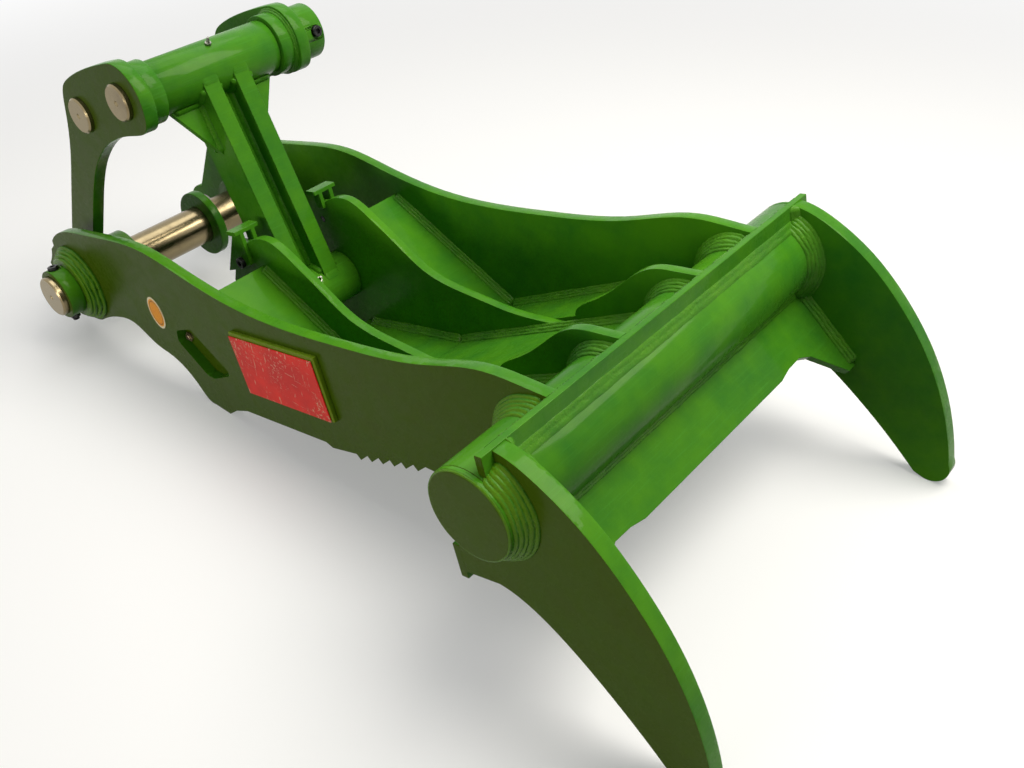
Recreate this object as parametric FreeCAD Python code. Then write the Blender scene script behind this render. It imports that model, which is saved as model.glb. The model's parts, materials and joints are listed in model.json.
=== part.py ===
import FreeCAD, Part
import math
import os

# A hydraulic thumb for an excavator: a welded two-tine fork that swings on a
# main pin, with an H-link and a pair of dog-leg links that drive it.
# X runs forward to the tines, Y to the left and Z up. The origin is the centre
# of the main pin. Pieces are drawn level and turned together to their rest.

# Attitude on the ground: hooks and tine tips stand on one floor
rest_pitch = 11.3

# Plates and their places across the width, measured from the middle
side_gap = 285.0
side_plate = 24.0
inner_plate = 20.0
tine_gap = 418.0
tine_plate = 30.0
link_plate = 30.0
floor_plate = 16.0
skirt_plate = 16.0
strip_plate = 14.0
strip_overhang = 23.0

# Main pin, its bosses, collars and cross bolts
pin_radius = 50.0
pin_reach = 394.0
pin_chamfer = 6.0
fit_gap = 0.05
boss_wall = 28.0
boss_gap = 166.0
boss_rise = 31.0
boss_weld = 20.0
collar_wall = 12.0
collar_width = 38.0
collar_setback = 1.0
bolt_radius = 8.0
bolt_head_radius = 13.0
bolt_head_height = 10.0
nut_height = 13.0
spot_depth = 5.0

# Spacer discs on the main pin
disc_radius = 87.0
disc_thickness = 7.5
disc_count = 3
disc_at = 47.0

# Cross tube and its end caps
tube_x = 1502.0
tube_z = -58.0
tube_radius = 82.0
tube_wall = 18.0
tube_stand = 40.0
cap_thickness = 12.0
cap_rim = 4.0

# Side plates: outline stations and teeth
tail_radius = 152.0
belly_radius = 104.0
side_top = 145.0
hook_x = 502.0
hook_z = -258.0
belly_z = -228.0
tooth_count = 6
tooth_pitch = 35.5
tooth_rise = 6.0
tooth_depth = 12.0
teeth_x = 968.0
window_radius = 12.0
window_cover = 12.0
cover_lap = 20.0
stud_reach = 9.0

# Floors, cross bar and inner plates
bend_x = 877.0
bend_z = -211.0
ramp_x = 544.0
ramp_z = 37.0
centre_floor_x = 539.0
centre_floor_z = -222.0
bar_x = 1390.0
bar_z = -182.0
bar_depth = 16.0
bar_height = 71.0

# Tine outline
strip_x = 1532.0
strip_top = 51.0
tip_x = 1806.0
tip_z = -482.0
tip_radius = 36.0

# Skirt under the tube, drawn down its own slope from the tube
skirt_angle = 53.0
skirt_middle = 86.0
skirt_foot = 167.0
skirt_root = 31.0
skirt_stand = 22.0
skirt_bearing = -57.7
foot_width = 25.0

# H-link between its two tubes
lower_pin_x = 500.0
lower_pin_z = -99.0
lower_pin_radius = 35.0
lower_tube_radius = 60.0
lower_tube_reach = 104.0
lower_tube_play = 1.0
upper_pin_x = 393.0
upper_pin_z = 437.0
upper_tube_radius = 59.0
upper_tube_reach = 153.0
bush_wall = 8.0
bush_length = 60.0
rib_gap = 20.0
rib_plate = 40.0
rib_half_depth = 54.0
web_plate = 20.0
gusset_plate = 16.0
gusset_height = 120.0
gusset_reach = 138.0
retainer_radius = 50.0
retainer_plate = 12.0

# Dog-leg links, their pins and eyes
link_pin_radius = 40.0
cylinder_pin_x = 194.0
cylinder_pin_z = 403.0
eye_x = -204.0
eye_z = -40.0
eye_radius = 75.0
eye_bush_wall = 8.0
leg_half_width = 44.0
head_radius = 80.0
link_pin_stand = 12.0
link_ring_radius = 68.0
link_ring_play = 1.0
link_ring_length = 38.0
keeper_offset = 54.0
keeper_bearing = 120.0
keeper_radius = 9.0
far_collar_radius = 62.0
far_collar_width = 60.0
far_bolt_setback = 40.0

# Stop brackets on the inner plates' rear ends
bracket_x = 512.0
bracket_top = 112.0
bracket_depth = 32.0
bracket_width = 64.0
bracket_cap = 10.0
bracket_plate = 10.0
bracket_leg = 26.0
bracket_bolt_back = 30.0
bracket_bolt_down = 70.0

# Bare plates on the outer face of the right side plate
badge_length = 280.0
badge_height = 140.0
badge_x = 658.0
badge_top = -14.0
badge_plate = 3.0
badge_backing = 10.0
badge_border = 8.0
label_x = 343.0
label_z = -23.0
label_length = 57.0
label_height = 81.0
label_plate = 1.5

tube_reach = tine_gap + tine_plate + tube_stand
inner_gap = lower_tube_reach + lower_tube_play
link_gap = upper_tube_reach + link_ring_play + link_ring_length
side_out = side_gap + side_plate
inner_out = inner_gap + inner_plate
tine_out = tine_gap + tine_plate
link_out = link_gap + link_plate
boss_radius = pin_radius + boss_wall
boss_out = side_out + boss_rise
collar_radius = pin_radius + collar_wall
tube_at = (tube_x, tube_z)
lower_at = (lower_pin_x, lower_pin_z)
upper_at = (upper_pin_x, upper_pin_z)
cylinder_at = (cylinder_pin_x, cylinder_pin_z)
eye_at = (eye_x, eye_z)
main_at = (0.0, 0.0)
bracket_bolt_at = (bracket_x - bracket_bolt_back, bracket_top - bracket_bolt_down)


def flat(point):
    """A point of a side view, on the middle plane."""
    return FreeCAD.Vector(point[0], 0, point[1])


class Outline:
    """A closed side-view outline of straight, round and free stretches."""

    def __init__(self, start):
        self.start = start
        self.here = start
        self.edges = []

    def line(self, *points):
        for point in points:
            self.edges.append(Part.LineSegment(flat(self.here), flat(point)).toShape())
            self.here = point
        return self

    def arc(self, middle, end):
        self.edges.append(Part.Arc(flat(self.here), flat(middle), flat(end)).toShape())
        self.here = end
        return self

    def curve(self, *points):
        spline = Part.BSplineCurve()
        spline.interpolate([flat(self.here)] + [flat(point) for point in points])
        self.edges.append(spline.toShape())
        self.here = points[-1]
        return self

    def face(self):
        self.line(self.start)
        return Part.Face(Part.Wire(self.edges))


def slab(outline, low, thick):
    """A plate cut to an outline, from one place across the width."""
    return outline.translated(FreeCAD.Vector(0, low, 0)).extrude(FreeCAD.Vector(0, thick, 0))


def bar(centre, radius, low, high):
    """A round bar across the width."""
    base = FreeCAD.Vector(centre[0], low, centre[1])
    return Part.makeCylinder(radius, high - low, base, FreeCAD.Vector(0, 1, 0))


def sleeve(centre, radius, bore, low, high):
    """A round tube across the width."""
    return bar(centre, radius, low, high).cut(bar(centre, bore, low, high))


def block(low, high):
    """A box between two corners."""
    size = [high[axis] - low[axis] for axis in range(3)]
    return Part.makeBox(size[0], size[1], size[2], FreeCAD.Vector(*low))


def polar(centre, radius, degrees):
    """A point on a circle in the side view."""
    turn = math.radians(degrees)
    return (centre[0] + radius * math.cos(turn), centre[1] + radius * math.sin(turn))


def beside(start, end, offset):
    """The two ends of a line moved to its left by an offset."""
    run = math.hypot(end[0] - start[0], end[1] - start[1])
    across = (-(end[1] - start[1]) / run * offset, (end[0] - start[0]) / run * offset)
    return ((start[0] + across[0], start[1] + across[1]), (end[0] + across[0], end[1] + across[1]))


def along(start, end, distance):
    """A point at a distance from one point towards another."""
    run = math.hypot(end[0] - start[0], end[1] - start[1])
    share = distance / run
    return (start[0] + (end[0] - start[0]) * share, start[1] + (end[1] - start[1]) * share)


def mirrored(shape):
    """The same piece on the other side of the machine."""
    return shape.mirror(FreeCAD.Vector(0, 0, 0), FreeCAD.Vector(0, 1, 0))


def keep(node, *solids):
    """Turn the pieces of one node to the rest attitude and write them."""
    shape = solids[0]
    if len(solids) > 1:
        shape = Part.makeCompound(list(solids))
    shape = shape.copy()
    shape.rotate(FreeCAD.Vector(0, 0, 0), FreeCAD.Vector(0, 1, 0), -rest_pitch)
    shape.exportStep("parts/" + node + ".step")


def keep_pair(name, left):
    """Write a left piece and its mirror image on the right."""
    keep(name + "_left", left)
    keep(name + "_right", mirrored(left))


def tube_space(low, high):
    """The space that the cross tube takes up."""
    return bar(tube_at, tube_radius, low, high)


def side_plate_piece():
    """The long outer plate that carries the main pin, hook and teeth."""
    tail = polar(main_at, tail_radius, 167)
    outline = Outline(tail)
    outline.arc(polar(main_at, tail_radius * 0.87, 155), (-99.0, 79.0))
    outline.line((-77.0, 90.0), (-72.0, 104.0))
    outline.curve((-28.0, side_top - 18), (111.0, side_top - 2), (240.0, side_top),
                  (388.0, side_top - 9), (520.0, 98.0), (689.0, 53.0), (850.0, 34.0),
                  (1033.0, 31.0), (1252.0, 44.0), (1410.0, strip_top + 15),
                  (strip_x - 28, strip_top + 4), (strip_x, strip_top))
    outline.line(tube_at, (bar_x + bar_depth, bar_z), (bar_x, bar_z), (bar_x, bar_z - 31))
    end_of_teeth = (teeth_x + tooth_count * tooth_pitch, belly_z + tooth_count * tooth_rise)
    outline.line(end_of_teeth)
    corners = []
    for tooth in reversed(range(tooth_count)):
        root = (teeth_x + tooth * tooth_pitch, belly_z + tooth * tooth_rise)
        corners += [(root[0] + tooth_pitch * 0.25, root[1] - tooth_depth), root]
    outline.line(*corners)
    outline.line((889.0, belly_z - 9), (870.0, belly_z), (588.0, belly_z))
    outline.line((538.0, belly_z - 12), (hook_x, hook_z), (450.0, hook_z + 12))
    outline.curve((426.0, hook_z + 19), (404.0, hook_z + 52), (327.0, -139.0),
                  (275.0, -122.0), (200.0, -77.0),
                  (128.0, -74.0), (60.0, -88.0), polar(main_at, belly_radius, -80))
    outline.arc(polar(main_at, tail_radius * 0.82, -145), tail)
    outline.edges = [edge for edge in outline.edges if edge.Length > 1e-6]
    plate = slab(Part.Face(Part.Wire(outline.edges)), side_gap, side_plate)
    plate = plate.cut(bar(main_at, boss_radius, side_gap, side_out))
    plate = plate.cut(tube_space(side_gap, side_out))
    return plate.cut(window(side_gap, side_plate))


def window_face():
    """The slanting outline of the window in a side plate."""
    return Outline((404.0, -58.0)).line((472.0, -42.0), (582.0, -137.0), (496.0, -165.0),
                                        (469.0, -162.0), (392.0, -88.0)).face()


def window(low, thick):
    """The window's space, with rounded corners."""
    opening = slab(window_face(), low, thick)
    upright = [edge for edge in opening.Edges if abs(edge.tangentAt(edge.FirstParameter).y) > 0.9]
    return opening.makeFillet(window_radius, upright)


def window_studs():
    """Where the studs of the window's cover stand."""
    return ((410.0, -84.0), (546.0, -128.0))


def window_cover_piece():
    """The plate behind the left window, drilled for its studs."""
    cover = slab(window_face().makeOffset2D(cover_lap), side_gap - window_cover, window_cover)
    for stud in window_studs():
        cover = cover.cut(bar(stud, bolt_radius + fit_gap, side_gap - window_cover, side_gap))
    return cover


def window_bolts():
    """Two bolts through each cover, heads inside."""
    inside = side_gap - window_cover
    bolts = []
    for stud in window_studs():
        head = bar(stud, bolt_head_radius, inside - bolt_head_height, inside)
        left = head.fuse(bar(stud, bolt_radius, inside, side_gap + stud_reach)).removeSplitter()
        bolts += [left, mirrored(left)]
    return bolts


def pin_boss():
    """A sleeve through a side plate that holds the main pin, with its weld."""
    rise = boss_rise / 3
    step = boss_weld / 2
    turned = Outline((pin_radius + fit_gap, boss_gap))
    turned.line((boss_radius, boss_gap), (boss_radius, side_gap), (boss_radius, side_out))
    turned.line((boss_radius + boss_weld, side_out), (boss_radius + boss_weld, side_out + rise))
    turned.line((boss_radius + step, side_out + rise), (boss_radius + step, side_out + 2 * rise))
    turned.line((boss_radius, side_out + 2 * rise), (boss_radius, boss_out))
    turned.line((pin_radius + fit_gap, boss_out))
    profile = turned.face()
    profile.rotate(FreeCAD.Vector(0, 0, 0), FreeCAD.Vector(1, 0, 0), -90)
    ring = profile.revolve(FreeCAD.Vector(0, 0, 0), FreeCAD.Vector(0, 1, 0), 360)
    return ring


def main_pin():
    """The main pin, chamfered, with a cross hole near each end."""
    pin = bar(main_at, pin_radius, -pin_reach, pin_reach)
    ends = [edge for edge in pin.Edges if len(edge.Vertexes) == 1]
    pin = pin.makeChamfer(pin_chamfer, ends)
    for side in (-1, 1):
        pin = pin.cut(cross_hole(side))
    return pin


def bolt_y():
    """How far out the cross bolts stand."""
    return boss_out + collar_setback + collar_width / 2


def cross_hole(side):
    """The hole through a collar and the main pin for a cross bolt."""
    base = FreeCAD.Vector(0, side * bolt_y(), -2 * collar_radius)
    return Part.makeCylinder(bolt_radius + fit_gap, 4 * collar_radius, base)


def locking_collar():
    """A collar on the left end of the main pin, spot faced for its bolt."""
    low = boss_out + collar_setback
    collar = sleeve(main_at, collar_radius, pin_radius + fit_gap, low, low + collar_width)
    collar = collar.cut(cross_hole(1))
    seat = collar_radius - spot_depth
    for height in (seat, -seat - collar_radius):
        base = FreeCAD.Vector(0, bolt_y(), height)
        collar = collar.cut(Part.makeCylinder(bolt_head_radius + 2, collar_radius, base))
    return collar


def cross_bolts():
    """A bolt through each collar, head on top."""
    seat = collar_radius - spot_depth
    bolts = []
    for side in (-1, 1):
        foot = FreeCAD.Vector(0, side * bolt_y(), -seat - nut_height - bolt_radius)
        shank = Part.makeCylinder(bolt_radius, 2 * seat + nut_height + bolt_radius, foot)
        head = FreeCAD.Vector(0, side * bolt_y(), seat)
        bolts.append(shank.fuse(hexagon(bolt_head_radius, bolt_head_height, head)))
    return [bolt.removeSplitter() for bolt in bolts]


def cross_nuts():
    """The nut under each collar."""
    seat = collar_radius - spot_depth
    nuts = []
    for side in (-1, 1):
        base = FreeCAD.Vector(0, side * bolt_y(), -seat - nut_height)
        nut = hexagon(bolt_head_radius, nut_height, base)
        hole = Part.makeCylinder(bolt_radius, nut_height, base)
        nuts.append(nut.cut(hole))
    return nuts


def hexagon(radius, height, base):
    """A six-sided head or nut standing on a point."""
    corners = []
    for corner in range(7):
        turn = math.radians(60 * corner)
        corners.append(base + FreeCAD.Vector(radius * math.cos(turn), radius * math.sin(turn), 0))
    return Part.Face(Part.makePolygon(corners)).extrude(FreeCAD.Vector(0, 0, height))


def spacer_discs():
    """Thin discs side by side on the main pin."""
    discs = []
    for disc in range(disc_count):
        low = disc_at + disc * disc_thickness
        discs.append(sleeve(main_at, disc_radius, pin_radius + fit_gap, low, low + disc_thickness))
    return discs


def cross_tube():
    """The round tube that joins the side plates to the tines."""
    reach = tube_reach - cap_thickness
    return sleeve(tube_at, tube_radius, tube_radius - tube_wall, -reach, reach)


def end_caps():
    """A rimmed disc closing each end of the cross tube."""
    cap = bar(tube_at, tube_radius, tube_reach - cap_thickness, tube_reach)
    outer = [edge for edge in cap.Edges if len(edge.Vertexes) == 1
             and edge.CenterOfMass.y > tube_reach - 1]
    cap = cap.makeChamfer(cap_rim, outer)
    return [cap, mirrored(cap)]


def tine():
    """The left curved tine, cut to seat on the tube."""
    outline = Outline((strip_x, strip_top))
    outline.curve((strip_x + 34, strip_top - 8), (strip_x + 95, strip_top - 43),
                  (strip_x + 153, strip_top - 94), (strip_x + 216, strip_top - 178),
                  (tip_x - 7, tip_z + 254), (tip_x + 26, tip_z + 134),
                  (tip_x + tip_radius, tip_z + 14))
    outline.arc(polar((tip_x, tip_z), tip_radius, -60), polar((tip_x, tip_z), tip_radius, -120))
    outline.line((tip_x - 34, tip_z - 22))
    outline.curve((tip_x - 83, tip_z + 47), (tip_x - 149, tip_z + 127),
                  (tip_x - 226, tip_z + 203), (1520.0, -241.0), (1482.0, -230.0))
    outline.line((bar_x + bar_depth, bar_z - 55), (bar_x + bar_depth, bar_z),
                 (tube_x - tube_radius, tube_z - 47), tube_at)
    plate = slab(outline.face(), tine_gap, tine_plate).cut(tube_space(tine_gap, tine_out))
    return plate.cut(top_strip())


def top_strip():
    """The flat strip that stands along the tube, between plates and tines."""
    reach = tine_out + strip_overhang
    strip = block((strip_x, -reach, tube_z), (strip_x + strip_plate, reach, strip_top))
    return strip.cut(tube_space(-reach, reach))


def cross_bar():
    """The flat bar behind the tines' heels."""
    return block((bar_x, -tine_out, bar_z - bar_height), (bar_x + bar_depth, tine_out, bar_z))


def skirt():
    """The sloping plate under the tube, with a foot on each tine."""
    ramp_in = tine_gap - foot_width
    half = [(tine_gap, -skirt_root), (tine_gap, skirt_foot), (ramp_in, skirt_foot)]
    toe = [(ramp_in - 65, skirt_middle + 6), (ramp_in - 95, skirt_middle - 8),
           (ramp_in - 135, skirt_middle - 7), (ramp_in - 170, skirt_middle)]
    corners = half + toe
    corners += [(-y, s) for y, s in reversed(corners)]
    points = [FreeCAD.Vector(s, y, 0) for y, s in corners]
    face = Part.Face(Part.makePolygon(points + [points[0]]))
    plate = face.extrude(FreeCAD.Vector(0, 0, -skirt_plate))
    plate.rotate(FreeCAD.Vector(0, 0, 0), FreeCAD.Vector(0, 1, 0), skirt_angle)
    start = polar(tube_at, tube_radius + skirt_stand, skirt_bearing)
    plate.translate(flat(start))
    return plate.cut(tube_space(-tine_gap, tine_gap))


def bent_plate(points, thick, low, high):
    """A plate folded along a side-view line, with its thickness below it."""
    under = []
    for place, point in enumerate(points):
        before = points[max(place - 1, 0)]
        after = points[min(place + 1, len(points) - 1)]
        if before == point:
            under.append(beside(point, after, -thick)[0])
        elif after == point:
            under.append(beside(before, point, -thick)[1])
        else:
            first = beside(before, point, -thick)
            second = beside(point, after, -thick)
            under.append(crossing(first, second))
    outline = Outline(points[0]).line(*points[1:]).line(*reversed(under)).face()
    return slab(outline, low, high - low)


def crossing(first, second):
    """Where two side-view lines cross."""
    (ax, az), (bx, bz) = first
    (cx, cz), (dx, dz) = second
    spread = (bx - ax) * (dz - cz) - (bz - az) * (dx - cx)
    share = ((cx - ax) * (dz - cz) - (cz - az) * (dx - cx)) / spread
    return (ax + share * (bx - ax), az + share * (bz - az))


def floor_end():
    """Where the floors run in under the tube."""
    return (tube_x - tube_radius / 2, tube_z + 20)


def outer_floor():
    """The left floor between inner and side plate, down to its fold and up."""
    line = [(ramp_x, ramp_z), (bend_x, bend_z), floor_end()]
    floor = bent_plate(line, floor_plate, inner_out, side_gap)
    return floor.cut(tube_space(inner_out, side_gap))


def centre_floor():
    """The floor of the middle bay."""
    line = [(centre_floor_x, centre_floor_z), (bend_x, bend_z), floor_end()]
    floor = bent_plate(line, floor_plate, -inner_gap, inner_gap)
    return floor.cut(tube_space(-inner_gap, inner_gap))


def inner_plate_piece():
    """The left inner plate, from the lower link pin to the tube."""
    lobe = lower_tube_radius + 32
    outline = Outline((470.0, 87.0)).line((509.0, 87.0))
    outline.curve((552.0, 102.0), (597.0, 102.0), (669.0, 58.0), (718.0, 19.0),
                  (805.0, -49.0), (955.0, -92.0), (1048.0, -109.0), (1145.0, -114.0),
                  (1205.0, -114.0))
    outline.line(floor_end())
    under = beside((bend_x, bend_z), floor_end(), -floor_plate - 12)
    outline.line(under[1], under[0], (centre_floor_x, centre_floor_z - floor_plate - 2))
    outline.arc(polar(lower_at, lobe + 45, -115), polar(lower_at, lobe, 180))
    outline.line((400.0, -20.0))
    plate = slab(outline.face(), inner_gap, inner_plate)
    plate = plate.cut(bar(lower_at, lower_pin_radius + fit_gap, inner_gap, inner_out))
    plate = plate.cut(bar(bracket_bolt_at, bolt_radius + fit_gap, inner_gap, inner_out))
    return plate.cut(tube_space(inner_gap, inner_out))


def front_gusset():
    """The left gusset that stands on the floor behind the strip."""
    foot = along(floor_end(), (bend_x, bend_z), 230)
    outline = Outline(foot)
    outline.curve((foot[0] - 8, foot[1] + 22), (foot[0] + 50, foot[1] + 66),
                  (foot[0] + 125, foot[1] + 114), (foot[0] + 190, strip_top - 3),
                  (strip_x - 40, strip_top + 1), (strip_x, strip_top))
    outline.line(tube_at, floor_end())
    return slab(outline.face(), inner_gap, inner_plate).cut(tube_space(inner_gap, inner_out))


def stop_bracket():
    """A capped plate on the outer face of the left inner plate's rear end."""
    middle = inner_gap + inner_plate / 2
    rear = bracket_x - bracket_depth
    top = bracket_top
    outline = Outline((rear, top)).line((bracket_x, top), (bracket_x, top - 74), (rear - 33, top - 94),
                                        (rear - 72, top - 102))
    ear = slab(outline.face(), inner_out, bracket_plate)
    ear = ear.cut(bar(bracket_bolt_at, bolt_radius + fit_gap, inner_out, inner_out + bracket_plate))
    cap = block((rear, middle - bracket_width / 2, top),
                (bracket_x, middle + bracket_width / 2, top + bracket_cap))
    leg = block((bracket_x - bracket_leg, inner_gap - bracket_plate, 75.0), (bracket_x, inner_gap, top))
    return ear.fuse(cap).fuse(leg).removeSplitter()


def bracket_bolts():
    """A socket screw through each bracket and inner plate."""
    face = inner_out + bracket_plate
    head = bar(bracket_bolt_at, bolt_head_radius, face, face + bolt_head_height)
    socket = hexagon(bolt_radius, spot_depth, FreeCAD.Vector(0, 0, 0))
    socket.rotate(FreeCAD.Vector(0, 0, 0), FreeCAD.Vector(1, 0, 0), -90)
    socket.translate(FreeCAD.Vector(bracket_bolt_at[0], face + bolt_head_height - spot_depth,
                                    bracket_bolt_at[1]))
    screw = head.cut(socket).fuse(bar(bracket_bolt_at, bolt_radius, inner_gap, face)).removeSplitter()
    return [screw, mirrored(screw)]


def lower_pin():
    """The pin under the H-link, with a flange bolted on at each end."""
    return bar(lower_at, lower_pin_radius, -inner_out, inner_out)


def pin_retainers():
    """A flange over each end of the lower link pin."""
    ring = bar(lower_at, retainer_radius, inner_out, inner_out + retainer_plate)
    return [ring, mirrored(ring)]


def retainer_bolts():
    """A bolt head in the middle of each retainer."""
    low = inner_out + retainer_plate
    base = FreeCAD.Vector(0, 0, 0)
    head = hexagon(bolt_head_radius, bolt_head_height, base)
    head.rotate(base, FreeCAD.Vector(1, 0, 0), -90)
    head.translate(FreeCAD.Vector(lower_at[0], low, lower_at[1]))
    return [head, mirrored(head)]


def upper_tube():
    """The H-link's upper cross tube."""
    bore = link_pin_radius + bush_wall
    return sleeve(upper_at, upper_tube_radius, bore, -upper_tube_reach, upper_tube_reach)


def lower_tube():
    """The H-link's lower cross tube."""
    bore = lower_pin_radius + bush_wall
    return sleeve(lower_at, lower_tube_radius, bore, -lower_tube_reach, lower_tube_reach)


def bushes(centre, radius, reach):
    """A bush in each end of a tube."""
    low = reach - bush_length
    bush = sleeve(centre, radius + bush_wall, radius + fit_gap, low, reach)
    return [bush, mirrored(bush)]


def h_rib():
    """The left rib of the H-link, from tube to tube."""
    front = beside(lower_at, upper_at, -rib_half_depth)
    rear = beside(lower_at, upper_at, rib_half_depth)
    outline = Outline(front[0]).line(front[1], rear[1], rear[0]).face()
    rib = slab(outline, rib_gap, rib_plate)
    rib = rib.cut(bar(upper_at, upper_tube_radius, rib_gap, rib_gap + rib_plate))
    return rib.cut(bar(lower_at, lower_tube_radius, rib_gap, rib_gap + rib_plate))


def h_web():
    """The web between the ribs, set back from their edges."""
    front = beside(lower_at, upper_at, -web_plate / 2)
    rear = beside(lower_at, upper_at, web_plate / 2)
    outline = Outline(front[0]).line(front[1], rear[1], rear[0]).face()
    web = slab(outline, -rib_gap, 2 * rib_gap)
    web = web.cut(bar(upper_at, upper_tube_radius, -rib_gap, rib_gap))
    return web.cut(bar(lower_at, lower_tube_radius, -rib_gap, rib_gap))


def h_gusset():
    """The left triangular gusset under the upper tube."""
    rib_out = rib_gap + rib_plate
    down = along(upper_at, lower_at, upper_tube_radius - 6)
    foot = along(upper_at, lower_at, upper_tube_radius + gusset_height)
    points = [FreeCAD.Vector(down[0], rib_out, down[1]),
              FreeCAD.Vector(down[0], gusset_reach, down[1]),
              FreeCAD.Vector(foot[0], rib_out, foot[1])]
    across = beside(lower_at, upper_at, gusset_plate / 2)[0]
    shift = FreeCAD.Vector(across[0] - lower_at[0], 0, across[1] - lower_at[1])
    face = Part.Face(Part.makePolygon(points + [points[0]]))
    plate = face.translated(shift).extrude(shift * -2)
    return plate.cut(bar(upper_at, upper_tube_radius, rib_out, gusset_reach))


def grease_fitting(centre, radius, degrees):
    """A small greasing nipple on a tube."""
    seat = polar(centre, radius - 0.5, degrees)
    out = polar((0.0, 0.0), 1.0, degrees)
    axis = FreeCAD.Vector(out[0], 0, out[1])
    base = Part.makeCylinder(7, 6, flat(seat), axis)
    tip = Part.makeCone(4, 2.5, 12, flat(seat) + axis * 6, axis)
    return base.fuse(tip).cut(bar(centre, radius, -20, 20))


def dog_link():
    """The left dog-leg link, from its lower eye to its two-pin head."""
    far_up = beside(eye_at, (eye_x + 66, eye_z + 75), leg_half_width)
    near_up = beside(eye_at, (eye_x + 66, eye_z + 75), -leg_half_width)
    direction = (0.6606, 0.7507)
    reach = math.sqrt(eye_radius ** 2 - leg_half_width ** 2)
    rear_start = (far_up[0][0] + direction[0] * reach, far_up[0][1] + direction[1] * reach)
    front_start = (near_up[0][0] + direction[0] * reach, near_up[0][1] + direction[1] * reach)
    rear_top = (rear_start[0] + direction[0] * 285, rear_start[1] + direction[1] * 285)
    front_top = (front_start[0] + direction[0] * 195, front_start[1] + direction[1] * 195)
    outline = Outline(rear_start)
    outline.line(rear_top)
    outline.curve((8.0, 267.0), (107.0, 402.0), (132.0, 445.0), (152.0, 467.0), (184.0, 482.0),
                  (256.0, 500.0), (319.0, 510.0), polar(upper_at, head_radius, 92))
    outline.arc(polar(upper_at, head_radius, 40), polar(upper_at, head_radius, -15))
    outline.curve((464.0, 396.0), (450.0, 377.0), (434.0, 369.0), (403.0, 364.0), (350.0, 360.0),
                  (287.0, 348.0), (244.0, 334.0), (205.0, 315.0), (156.0, 284.0), (111.0, 246.0),
                  (64.0, 198.0), front_top)
    outline.line(front_start)
    far_side = (eye_x - direction[0] * eye_radius, eye_z - direction[1] * eye_radius)
    outline.arc(far_side, rear_start)
    plate = slab(Part.Face(Part.Wire(outline.edges)), link_gap, link_plate)
    for centre, radius in ((upper_at, link_pin_radius + fit_gap),
                           (cylinder_at, link_pin_radius + fit_gap),
                           (eye_at, link_pin_radius + eye_bush_wall)):
        plate = plate.cut(bar(centre, radius, link_gap, link_out))
    return plate


def eye_bushes():
    """A bush in the lower eye of each link."""
    bush = sleeve(eye_at, link_pin_radius + eye_bush_wall, link_pin_radius, link_gap, link_out)
    return [bush, mirrored(bush)]


def link_rings():
    """A ring on the inner face of each link, up to the H-link's tube."""
    low = upper_tube_reach + link_ring_play
    ring = sleeve(upper_at, link_ring_radius, link_pin_radius + fit_gap, low, link_gap)
    return [ring, mirrored(ring)]


def link_pin(centre, far_end):
    """A chamfered pin through both links."""
    near_end = link_out + link_pin_stand
    pin = bar(centre, link_pin_radius, -near_end, far_end)
    ends = [edge for edge in pin.Edges if len(edge.Vertexes) == 1]
    return pin.makeChamfer(3, ends)


def cylinder_pin_keeper():
    """A bolt beside the cylinder pin's left end, on the link's outer face."""
    place = polar(cylinder_at, keeper_offset, keeper_bearing)
    return bar(place, keeper_radius, link_out, link_out + keeper_radius)


def far_bolt_hole():
    """The hole through the far collar and its pin."""
    base = FreeCAD.Vector(upper_at[0] - 2 * far_collar_radius, link_out + far_bolt_setback, upper_at[1])
    return Part.makeCylinder(bolt_radius + fit_gap, 4 * far_collar_radius, base, FreeCAD.Vector(1, 0, 0))


def far_collar():
    """The collar on the left end of the upper link pin, spot faced for its bolt."""
    collar = sleeve(upper_at, far_collar_radius, link_pin_radius + fit_gap,
                    link_out, link_out + far_collar_width)
    collar = collar.cut(far_bolt_hole())
    for way in (-1, 1):
        base = FreeCAD.Vector(upper_at[0] + way * (far_collar_radius - spot_depth),
                              link_out + far_bolt_setback, upper_at[1])
        axis = FreeCAD.Vector(way, 0, 0)
        collar = collar.cut(Part.makeCylinder(bolt_head_radius + 2, far_collar_radius, base, axis))
    return collar


def far_bolt():
    """The bolt through the far collar, head in front."""
    seat = far_collar_radius - spot_depth
    shank = Part.makeCylinder(bolt_radius, 2 * seat + nut_height + bolt_radius,
                              FreeCAD.Vector(0, 0, -seat - nut_height - bolt_radius))
    bolt = shank.fuse(hexagon(bolt_head_radius, bolt_head_height, FreeCAD.Vector(0, 0, seat)))
    return crosswise(bolt.removeSplitter())


def far_nut():
    """The nut behind the far collar."""
    seat = far_collar_radius - spot_depth
    base = FreeCAD.Vector(0, 0, -seat - nut_height)
    nut = hexagon(bolt_head_radius, nut_height, base)
    return crosswise(nut.cut(Part.makeCylinder(bolt_radius, nut_height, base)))


def crosswise(piece):
    """Lay an upright bolt or nut along the far collar's cross hole."""
    piece = piece.copy()
    piece.rotate(FreeCAD.Vector(0, 0, 0), FreeCAD.Vector(0, 1, 0), 90)
    piece.translate(FreeCAD.Vector(upper_at[0], link_out + far_bolt_setback, upper_at[1]))
    return piece


def badge_backing_piece():
    """The raised backing on the right side plate."""
    low = (badge_x, -side_out - badge_backing, badge_top - badge_height)
    high = (badge_x + badge_length + badge_border, -side_out, badge_top + badge_border)
    return block(low, high)


def badge():
    """The bare plate on its backing."""
    low = (badge_x, -side_out - badge_backing - badge_plate, badge_top - badge_height)
    return block(low, (badge_x + badge_length, -side_out - badge_backing, badge_top))


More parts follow.
